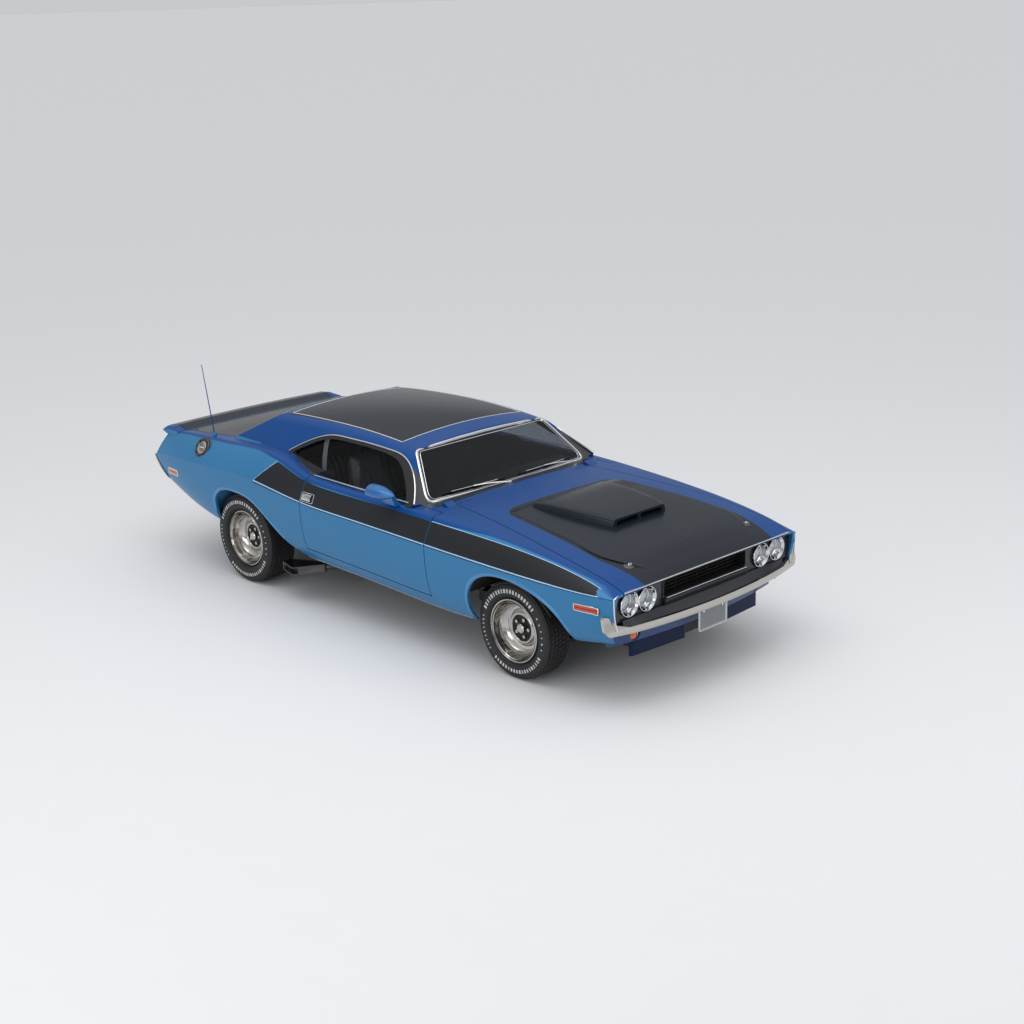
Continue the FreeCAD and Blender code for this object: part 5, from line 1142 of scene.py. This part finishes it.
# %% Turn lamps and plate
red_orange = finish("red_orange_lens", (0.55, 0.045, 0.012), rough=0.14, coat=0.6)
TURN_SPOT = (LIP_X - 116, 577.0, 414.0)
dome = [(max(0.0, r), 2 + 15 * math.cos(r / 38 * 1.45) + (0.8 if k % 2 else 0))
        for k, r in enumerate(np.linspace(0, 37, 15))]
for name, profile, mat in (
        ("turn_ring", [(44, 0), (45, 4), (42, 7), (38.5, 6), (38.5, 0)], matt_black),
        ("turn_lens", dome + [(37, 0), (0, 0)], amber),
        ("turn_line", [(39, 5), (39, 8), (37, 9), (35, 7), (36, 5)], chrome)):
    on_both(lathe, name, TURN_SPOT, (1, 0, 0), profile, mat, like="turn_lamps")

PLATE = [(-131, 333), (131, 333), (131, 479), (-131, 479)]
plate_line = corner_outline(PLATE, 14)
inner_line = corner_outline([(y * 0.93, 406 + (z - 406) * 0.88) for y, z in PLATE], 10)


def flat_plate(name, outline, x, thick, mat, like):
    """A flat sheet in a y, z outline, with a rounded front edge."""
    outline = np.asarray(outline, float)
    middle = outline.mean(0)
    rows = []
    for depth, shrink in ((0, 0.0), (thick - 0.8, 0.0), (thick, 0.8)):
        pulled = outline - unit(outline - middle) * shrink
        rows.append(np.column_stack([x + depth + 0 * pulled[:, 0], pulled]))
    count = len(outline)
    faces = grid_faces(3, count, wrap_columns=True)
    faces += [tuple(range(count)), tuple(range(2 * count, 3 * count))]
    return piece(name, np.vstack(rows), faces, mat, like)


PLATE_FRONT = X_NOSE - 58 + 3
flat_plate("number_plate", plate_line, PLATE_FRONT + 0.2, 3.0, plate_grey, "plate_bracket")
for name, rise, outline, width, height in (("plate_frame", 4, plate_line, 12.0, 7.0),
                                           ("plate_inner_line", 3.2, inner_line, 4.0, 2.4)):
    bead(name, [(PLATE_FRONT + rise, y, z) for y, z in outline], (1, 0, 0), width, height, brushed,
         "plate_bracket", wrap=True)
on_both(lathe, "plate_bolt", (PLATE_FRONT + 3, 89, 452), (1, 0, 0),
        [(0, 0), (7, 0), (7, 4), (4, 6), (0, 6)], chrome, like="plate_bracket", steps=24)

markers = dressed("side_markers", red_orange, orange_lens, angle=30, painted=False)
shade_faces(markers, lambda spots, ways: spots[:, 0] < 0)
# Each marker's edges in x and in z, and the finish of its frame.
MARKERS = {"front": (F + 580, F + 757, 617, 658, chrome),
           "rear": (R - 902, R - 760, 668, 713, pale_trim)}
marker_tree = trees_of("side_markers")
for end, (x0, x1, z0, z1, mat) in MARKERS.items():
    for side, sign in SIDES:
        like = "front_fender_" + side if end == "front" else "body_shell"
        outline = corner_outline([(x0, z0), (x1, z0), (x1, z1), (x0, z1)], 9, 90)
        spots, _ = cast(trees_of(like), [(x, sign * FLANK_START, z) for x, z in outline], (0, -sign, 0))
        out = np.abs(spots[:, 1])
        spots[:, 1] = sign * np.maximum(out, out.mean() - 8)
        bead("marker_frame_" + end + "_" + side, spots, (0, sign, 0.1), 8.0, 7.0, mat, like, wrap=True,
             lift=1.5)
        starts = [(x, sign * FLANK_START, (z0 + z1) / 2) for x in np.linspace(x0 + 12, x1 - 12, 20)]
        spots, _ = cast(marker_tree, starts, (0, -sign, 0))
        bead("marker_rib_" + end + "_" + side, spots, (0, sign, 0), 5.0, 3.0, matt_black,
             "side_markers")
print("turn lamps, plate and markers")

# %% [markdown]
# ## Seats
# The two front seats have high backs, and a bench fills the rear. Each pad starts as a solid a
# little smaller than the real one, is remeshed to even squares, and Cloth blows it up with pressure
# so that its faces crown and its sides pull in. Sewn channels are pressed in afterwards.

# %% Seats
SEAT_Y = 408.0
PAD_VOXEL = 0.009
PAD_PRESSURE = 4.0
PAD_CAP = 0.024
PAD_FRAMES = 20


def outline_solid(outline, y0, y1, narrow=None):
    """Points and faces of an (x, z) outline between two y planes; narrow(z) shrinks its width."""
    middle, half = (y0 + y1) / 2, (y1 - y0) / 2
    points = []
    for sign in (-1, 1):
        for x, z in outline:
            points.append((x, middle + sign * half * (narrow(z) if narrow else 1.0), z))
    count = len(outline)
    faces = [tuple(range(count)), tuple(range(2 * count - 1, count - 1, -1))]
    faces += [(j, (j + 1) % count, count + (j + 1) % count, count + j) for j in range(count)]
    return points, faces


def soft_start(name, solid, round_off):
    """A rounded, evenly remeshed start for a pad."""
    mesh = bpy.data.meshes.new(name)
    mesh.from_pydata([tuple(c / 1000 for c in p) for p in solid[0]], [], solid[1])
    reworked(mesh, face_outwards)
    pad = bpy.data.objects.new(name, mesh)
    scene.collection.objects.link(pad)
    edge = pad.modifiers.new("edge", "BEVEL")
    edge.width = round_off / 1000
    edge.segments = 3
    grid = pad.modifiers.new("grid", "REMESH")
    grid.mode = "VOXEL"
    grid.voxel_size = PAD_VOXEL
    bpy.context.view_layer.update()
    even = bpy.data.meshes.new_from_object(pad.evaluated_get(bpy.context.evaluated_depsgraph_get()))
    pad.modifiers.clear()
    pad.data = even
    return pad


def inflate(pads):
    """Blows all the pads up together, then keeps the result with no modifier left."""
    starts = [read(pad.data.vertices, "co") for pad in pads]
    for pad in pads:
        cloth = pad.modifiers.new("cloth", "CLOTH")
        cloth.settings.use_pressure = True
        cloth.settings.uniform_pressure_force = PAD_PRESSURE
        cloth.settings.effector_weights.gravity = 0
    for frame_number in range(1, PAD_FRAMES + 1):
        scene.frame_set(frame_number)
    graph = bpy.context.evaluated_depsgraph_get()
    for pad, start in zip(pads, starts):
        mesh = bpy.data.meshes.new_from_object(pad.evaluated_get(graph))
        pad.modifiers.clear()
        move = read(mesh.vertices, "co") - start
        size = np.linalg.norm(move, axis=1, keepdims=True)
        ends = start + move * np.minimum(1, PAD_CAP / np.maximum(size, 1e-9))
        mesh.vertices.foreach_set("co", ends.ravel())
        pad.data = mesh
    scene.frame_set(1)


def press_channels(points, facing, lines, depth, width):
    """Sinks sewn lines: each is (axis number, place, low, high) in mm, across the pad's face."""
    sunk = np.zeros(len(points))
    for axis, place, (other, low, high) in lines:
        inside = (points[:, other] > low) & (points[:, other] < high)
        near = np.exp(-((points[:, axis] - place) / width) ** 2)
        sunk = np.maximum(sunk, near * inside)
    return points - facing * (depth * sunk)[:, None]


BASE = [(F - 1822, 326), (F - 1342, 326), (F - 1304, 420), (F - 1312, 490), (F - 1400, 498),
        (F - 1750, 456), (F - 1836, 456)]
BACK = [(F - 1864, 452), (F - 1752, 452), (F - 1832, 700), (F - 1904, 940), (F - 1926, 1046),
        (F - 1978, 1046), (F - 1978, 940), (F - 1922, 700)]
BENCH = [(R + 728, 326), (R + 730, 460), (R + 690, 484), (R + 346, 430), (R + 336, 326)]
BENCH_BACK = [(R + 326, 420), (R + 352, 446), (R + 224, 880), (R + 156, 888), (R + 186, 420)]


def back_width(z):
    """The share of its full width that a seat back has at height z."""
    return float(np.interp(z, [430, 700, 860, 1046], [1.0, 0.98, 0.82, 0.6]))


starts = [soft_start("bucket_base", outline_solid(BASE, -212, 212), 30),
          soft_start("bucket_back", outline_solid(BACK, -208, 208, back_width), 22),
          soft_start("bench_base", outline_solid(BENCH, -606, 606), 26),
          soft_start("bench_back", outline_solid(BENCH_BACK, -606, 606), 24)]
inflate(starts)
PADS = []
for pad in starts:
    mesh = pad.data
    points, facing = read(mesh.vertices, "co") * 1000, read(mesh.vertices, "normal")
    if "base" in pad.name:
        front = facing[:, 2] > 0.6
        reach = (0, -9999, 9999)
    else:
        front = facing[:, 0] > 0.5
        reach = (2, 470, 880)
    half = 150 if "bucket" in pad.name else 520
    lines = [(1, float(y), reach) for y in np.arange(-half, half + 1, 50.0)]
    pressed = press_channels(points, facing * front[:, None], lines, 6.0, 7.0)
    PADS.append((pad.name, pressed, [tuple(face.vertices) for face in mesh.polygons]))
    bpy.data.objects.remove(pad)

for name, points, faces in PADS:
    copies = [("_left", SEAT_Y), ("_right", -SEAT_Y)] if "bucket" in name else [("", 0.0)]
    like = "front_seats" if "bucket" in name else "rear_seat"
    for label, shift in copies:
        made = piece(name + label, points + (0, shift, 0), faces, vinyl, like)
        smoother = made.modifiers.new("smoother", "SUBSURF")
        smoother.levels = smoother.render_levels = 1
        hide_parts(like)
print("seat pads:", len(PADS), "shapes")

# %% [markdown]
# A grey belt hangs from the roof rail behind each front seat.

# %% Seat trim
belt = smooth_path([(F - 2030, 640, 1196), (F - 2036, 668, 1090), (F - 2040, 690, 900),
                    (F - 2034, 696, 700), (F - 2000, 690, 470)], 40)
for side, sign in SIDES:
    bead("belt_webbing_" + side, belt * (1, sign, 1), (0, 1, 0), 48.0, 3.0, webbing, "body_shell",
         around=12)
print("belts")

# %% [markdown]
# ## Small bright parts
# Hood pins, square door handles over a black film that is painted shade for their hollows, the
# racing fuel cap with its ring of bolts, the wipers and the exhaust tips. Each sits on the panel
# that carries it.

# %% Hood pins and wipers
HIGH_START = 1200.0
hood_tree = trees_of("hood")
for side, sign in SIDES:
    spots, ways = cast(hood_tree, [(2185, sign * 552, HIGH_START)], (0, 0, -1))
    foot, up_way = spots[0], unit(ways[0])
    lathe("pin_plate_" + side, foot, up_way, [(0, -1), (31, -1), (31, 1.5), (27, 3.0), (0, 3.4)],
          steel, "hood", 48)
    lathe("pin_post_" + side, foot, up_way, [(0, 2), (6, 2), (6, 13), (4, 16), (0, 16)], chrome, "hood",
          24)
    _, first, second = around_axis(up_way)
    turn = np.linspace(0, 2 * np.pi, 24, endpoint=False)
    clip = (foot + up_way * 9 + first * (14 * np.cos(turn) + 9)[:, None]
            + second * (9 * np.sin(turn))[:, None])
    bead("pin_clip_" + side, clip, up_way, 3.4, 3.4, chrome, "hood", wrap=True)
    lines = [("nose_seam_" + side, 2.6, 1.0,
              [(2298 - abs(y) * 0.05, y) for y in sign * np.linspace(611, 764, 24)])]
    for k, (slot_x, slot_y) in enumerate(((748, 600), (752, 520))):
        lines.append(("hood_slot_" + side + "_" + str(k), 10.0, 1.4,
                      [(slot_x, sign * y) for y in np.linspace(slot_y - 34, slot_y + 34, 14)]))
    for name, width, height, places in lines:
        spots, ways = cast(hood_tree, [(x, y, HIGH_START) for x, y in places], (0, 0, -1))
        bead(name, spots, ways, width, height, matt_black, "hood")

BLADE_WAY = (0.7, 0, 0.7)
screen_tree = trees_of("windshield")
for side, inner, outer in (("right", -60, -600), ("left", 600, 70)):
    spots, _ = cast(screen_tree, [(1400, y, 968) for y in np.linspace(inner, outer, 24)], (-1, 0, 0))
    blade = spots + (9, 0, 2)
    pivot = blade[0] + (52, 0, -18)
    arm = smooth_path([pivot, (pivot + blade[9]) / 2 + (4, 0, 6), blade[12] + (3, 0, 6)], 24)
    bead("wiper_blade_" + side, blade, BLADE_WAY, 6.0, 9.0, matt_black, "cowl")
    bead("wiper_arm_" + side, arm, BLADE_WAY, 9.0, 4.0, chrome, "cowl")
    bead("wiper_spine_" + side, blade[3:-3] + (3, 0, 4), BLADE_WAY, 5.0, 4.0, chrome, "cowl")
    lathe("wiper_pivot_" + side, pivot, (0, 0, 1), [(0, -12), (13, -12), (13, 5), (8, 9), (0, 9)],
          chrome, "cowl", 32)
for label, way_out, first in (("left", 1, 1780), ("right", -1, 1780), ("middle", 0, 1940)):
    crease_x = np.linspace(first, 2334, 60)
    crease_y = way_out * (PLATEAU_HALF(crease_x) - 8)
    sink = np.interp(crease_x, (first, first + 200, 2290, 2334), (-6, 0, 0, -3))
    spots = np.column_stack([crease_x, crease_y, hood_height(crease_x, crease_y) + sink])
    bead("hood_crease_" + label, spots, (0.15, 0, 1), 40.0, 8.0, hood_paint, "hood", around=16,
         lift=-2.4)
print("hood pins, seams, slots, creases and wipers")

# %% Door handles
def on_shoulder(x, z):
    """Points on the shoulder strip at x whose height is z, and directions."""
    x, z = np.broadcast_arrays(np.asarray(x, float), np.asarray(z, float))
    t = np.linspace(0, 1, 200)
    heights = strip_at(body_strips, 1, x.reshape(-1, 1), t)[..., 1]
    at = np.array([np.interp(v, row, t) for v, row in zip(z.ravel(), heights)]).reshape(x.shape)
    return on_strip(body_strips, 1, x, at)


# A flat black film on the panel round each handle: painted shade of its hollow.
shade_in_recess = on_shoulder(np.linspace(-476, -352, 14)[:, None], np.linspace(800, 853, 10)[None, :])
ring = on_shoulder(*corner_outline([(-479, 798), (-349, 798), (-349, 856), (-479, 856)], 12, 90).T)
flap_spots, flap_ways = on_shoulder(np.linspace(-462, -368, 12)[:, None],
                                    np.linspace(807, 848, 8)[None, :])
crown = 1 - (np.linspace(-1, 1, 12)[:, None] ** 6 + np.linspace(-1, 1, 8)[None, :] ** 6) / 2
lever_spots, lever_ways = on_shoulder(np.linspace(-455, -375, 20), 842)
neck = np.linspace(lever_spots[10], lever_spots[10] + lever_ways[10] * 12, 6)
on_both(film, "handle_recess", *shade_in_recess, 1.0, matt_black, like="door")
on_both(bead, "handle_ring", *ring, 6.0, 5.0, chrome, like="door", wrap=True, lift=0.8)
on_both(film, "handle_flap", flap_spots + flap_ways * (7 + 5 * crown)[..., None], flap_ways, 0.4,
        chrome, like="door")
on_both(bead, "handle_lever", lever_spots + lever_ways * 13, lever_ways, 9.0, 6.0, chrome, like="door")
on_both(bead, "handle_neck", neck, (1, 0, 0), 30.0, 20.0, chrome, like="door")
print("door handles")

# %% Fuel cap
CAP_AXIS = np.array([0, -0.86, 0.5]) / math.hypot(0.86, 0.5)
CAP_MID = np.array([R - 466, -866.0, 930.0])
CAP_TOP = 20.0
for name, mat, profile in (
        ("cap_base", steel, [(0, -50), (78, -50), (78, -8), (75, -3), (70, -2), (58, -6), (0, -6)]),
        ("cap_dark_edge", matt_black, [(70, -6), (78.6, -8), (78.6, -16), (70, -16)]),
        ("cap_dark_ring", matt_black, [(50, -8), (57, -8), (57, -4), (50, -3)]),
        ("cap_lid", wheel_chrome, [(0, -8), (49, -8), (49, -3), (44, 0), (14, -1), (0, -1)])):
    lathe(name, CAP_MID, CAP_AXIS, [(r, CAP_TOP + h) for r, h in profile], mat, "fuel_cap")
for name in ("cap_base", "cap_lid"):
    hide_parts("fuel_cap")
points, faces = ring_blocks(Count=8, Radius=64.0, Size=(9.0, 6.0, 9.0), Finish=matt_black)
_, cap_side, cap_third = around_axis(CAP_AXIS)
placed = (points[:, :1] * cap_side + points[:, 2:] * cap_third
          + (points[:, 1:2] + CAP_TOP - 3) * CAP_AXIS + CAP_MID)
piece("cap_bolts", placed, faces, matt_black, "fuel_cap")
rise = CAP_TOP - 1 + 9 * np.sin(np.pi * np.linspace(0, 1, 16))
loop = CAP_MID + cap_side * np.linspace(-30, 30, 16)[:, None] + CAP_AXIS * rise[:, None]
bead("cap_loop", loop, CAP_AXIS, 9.0, 4.0, chrome, "fuel_cap")
print("fuel cap")

# %% Exhaust tips
tip_chrome = finish("tip_metal", (0.11, 0.11, 0.115), 1.0, 0.3, vary=0.3, scale=14.0)
tips = dressed("exhaust", steel, tip_chrome, angle=30, painted=False)
shade_faces(tips, lambda spots, ways: np.abs(spots[:, 1]) > 850)
print("exhaust tips")

# %% [markdown]
# ## Tail
# Two long red lamps sit in a black panel, each with a bright border and upright bars.

# %% Tail
TAIL_LAMP = (118.0, 752.0, 806.0, 896.0)
TAIL_BARS = 5
y0, y1, z0, z1 = TAIL_LAMP
tail_tree = trees_of("tail_lamps", "body_shell")
for side, sign in SIDES:
    outline = corner_outline([(y0, z0), (y1, z0), (y1 - 22, z1), (y0, z1)], 16)
    rows = [("tail_lamp_frame_" + side, outline)]
    for k in range(1, TAIL_BARS + 1):
        y = y0 + (y1 - y0) * k / (TAIL_BARS + 1)
        bar = [(y, z) for z in np.linspace(z0 + 4, z1 - 4, 12)]
        rows.append(("tail_lamp_bar_" + side + str(k), bar))
    for name, places in rows:
        spots, _ = cast(tail_tree, [(-2700, sign * y, z) for y, z in places], (1, 0, 0))
        if "frame" in name:
            bead(name, spots, (-1, 0, 0.3), 9.0, 7.0, chrome, "body_shell", wrap=True, lift=1.0)
        else:
            bead(name, spots, (-1, 0, 0.3), 4.0, 5.0, chrome, "tail_lamps")
print("tail lamps with", TAIL_BARS, "bars each")

# %% [markdown]
# ## Door trim
# An armrest, a pull and a window winder sit on the inside of each door.

# %% Door trim
armrest = smooth_path([(-330, 786, 628), (-250, 774, 640), (60, 774, 648), (140, 786, 640)], 30)
pull = smooth_path([(300, 789, 700), (340, 770, 704), (400, 770, 704), (440, 789, 700)], 24)
hub = np.array([210.0, 790, 560.0])
knob = hub + (-70, -12, 40)
for name, path, width, height, mat, around in (
        ("armrest", armrest, 52.0, 40.0, vinyl, 16), ("door_pull", pull, 14.0, 10.0, chrome, 8),
        ("winder_arm", np.linspace(hub + (0, -9, 0), knob, 8), 12.0, 5.0, chrome, 8),
        ("door_card_line", np.linspace((-400, 789.5, 470), (700, 789.5, 470), 30), 5.0, 3.0, brushed, 8)):
    on_both(bead, name, path, (0, -1, 0), width, height, mat, like="door", around=around)
on_both(lathe, "winder_hub", hub, (0, -1, 0), [(0, 0), (16, 0), (16, 8), (10, 12), (0, 12)], chrome,
        like="door", steps=32)
on_both(lathe, "winder_knob", knob, (0, -1, 0), [(0, 0), (9, 0), (11, 8), (9, 20), (0, 22)],
        matt_black, like="door", steps=24)
print("door trim")

# %% [markdown]
# ## Floor, lights and camera
# The car stands on a wide pale floor. Large soft panels light it from above, from its right and
# from ahead of it. The world is a plain room: camera, mirror and glass rays see a pale backdrop
# with a darker wall and a bright ceiling above it, and the light on the car comes from a smooth
# rise in brightness towards the top.

# %% Stage
CAMERA_PLACE = (8.62966, -7.63586, 4.09579)
CAMERA_TURN = 46.382
CAMERA_DROP = 16.9965
CAMERA_ROLL = -1.610
CAMERA_LENS = 59.79
FLOOR_SIZE = 1600
FLOOR_COLOUR = (0.8, 0.8, 0.81)
ROOM_LIGHT = (0.95, 0.97, 1.0)
ROOM_LEVELS = ((0.0, 0.15), (0.45, 0.46), (1.0, 0.97))
SHOWN_LEVELS = ((0.0, 0.5), (0.2, 0.48), (0.3, 0.2), (0.5, 0.44), (1.0, 0.97))
ROOM_STRENGTH = 1.2

bpy.ops.mesh.primitive_plane_add(size=FLOOR_SIZE, location=(0, 0, 0))
floor = bpy.context.object
floor.name = "floor"
floor.data.materials.append(finish("pale_floor", FLOOR_COLOUR, rough=0.9, vary=0.01))
floor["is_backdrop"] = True
for name, place, target, size, size_y, power in (
        ("top_panel", (1.0, -2.0, 7.5), (0, 0, 0.5), 7, 4, 130),
        ("right_panel", (2.5, -9.5, 3.2), (0, 0, 0.6), 9, 3, 160),
        ("nose_panel", (9.5, 2.0, 3.4), (1.5, 0, 0.6), 4, 3, 90)):
    data = bpy.data.lights.new(name, "AREA")
    data.shape = "RECTANGLE"
    data.size, data.size_y, data.energy = size, size_y, power
    lamp = bpy.data.objects.new(name, data)
    lamp.location = place
    lamp.rotation_euler = (Vector(target) - Vector(place)).to_track_quat("-Z", "Y").to_euler()
    scene.collection.objects.link(lamp)
    lamp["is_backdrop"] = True

world = bpy.data.worlds.new("soft_room")
scene.world = world
world.use_nodes = True
tree = world.node_tree
direction = add(tree, "ShaderNodeTexCoord").outputs["Generated"]
upward = add(tree, "ShaderNodeSeparateXYZ", Vector=direction).outputs["Z"]
rooms = []
for levels in (ROOM_LEVELS, SHOWN_LEVELS):
    ramp = add(tree, "ShaderNodeValToRGB", Fac=upward)
    for place, _ in levels[1:-1]:
        ramp.color_ramp.elements.new(place)
    for stop, (place, level) in zip(ramp.color_ramp.elements, levels):
        stop.position = place
        stop.color = (*[level * c for c in ROOM_LIGHT], 1)
    room = add(tree, "ShaderNodeBackground", Color=ramp.outputs["Color"], Strength=ROOM_STRENGTH)
    rooms.append(room.outputs["Background"])
rays = add(tree, "ShaderNodeLightPath").outputs
seen = maths(tree, "MAXIMUM", rays["Is Camera Ray"], rays["Is Glossy Ray"])
seen = maths(tree, "MAXIMUM", seen, rays["Is Transmission Ray"])
choice = add(tree, "ShaderNodeMixShader", Fac=seen)
for socket, room in zip(list(choice.inputs)[1:], rooms):
    tree.links.new(room, socket)
tree.links.new(choice.outputs["Shader"], tree.nodes["World Output"].inputs["Surface"])

lens = bpy.data.cameras.new("camera")
lens.sensor_width = 36
lens.lens = CAMERA_LENS
lens.clip_end = 3000
camera = bpy.data.objects.new("camera", lens)
scene.collection.objects.link(camera)
scene.camera = camera
turn, drop, roll = (math.radians(v) for v in (CAMERA_TURN, CAMERA_DROP, CAMERA_ROLL))
back = Vector((math.sin(turn) * math.cos(drop), -math.cos(turn) * math.cos(drop), math.sin(drop)))
right = Vector((math.cos(turn), math.sin(turn), 0))
up = back.cross(right)
rolled_right = right * math.cos(roll) + up * math.sin(roll)
rolled_up = up * math.cos(roll) - right * math.sin(roll)
pose = Matrix((rolled_right, rolled_up, back)).transposed().to_4x4()
pose.translation = CAMERA_PLACE
camera.matrix_world = pose

scene.view_settings.view_transform = "Standard"
print("floor, three soft panels, room and camera")

# %% End
low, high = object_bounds()
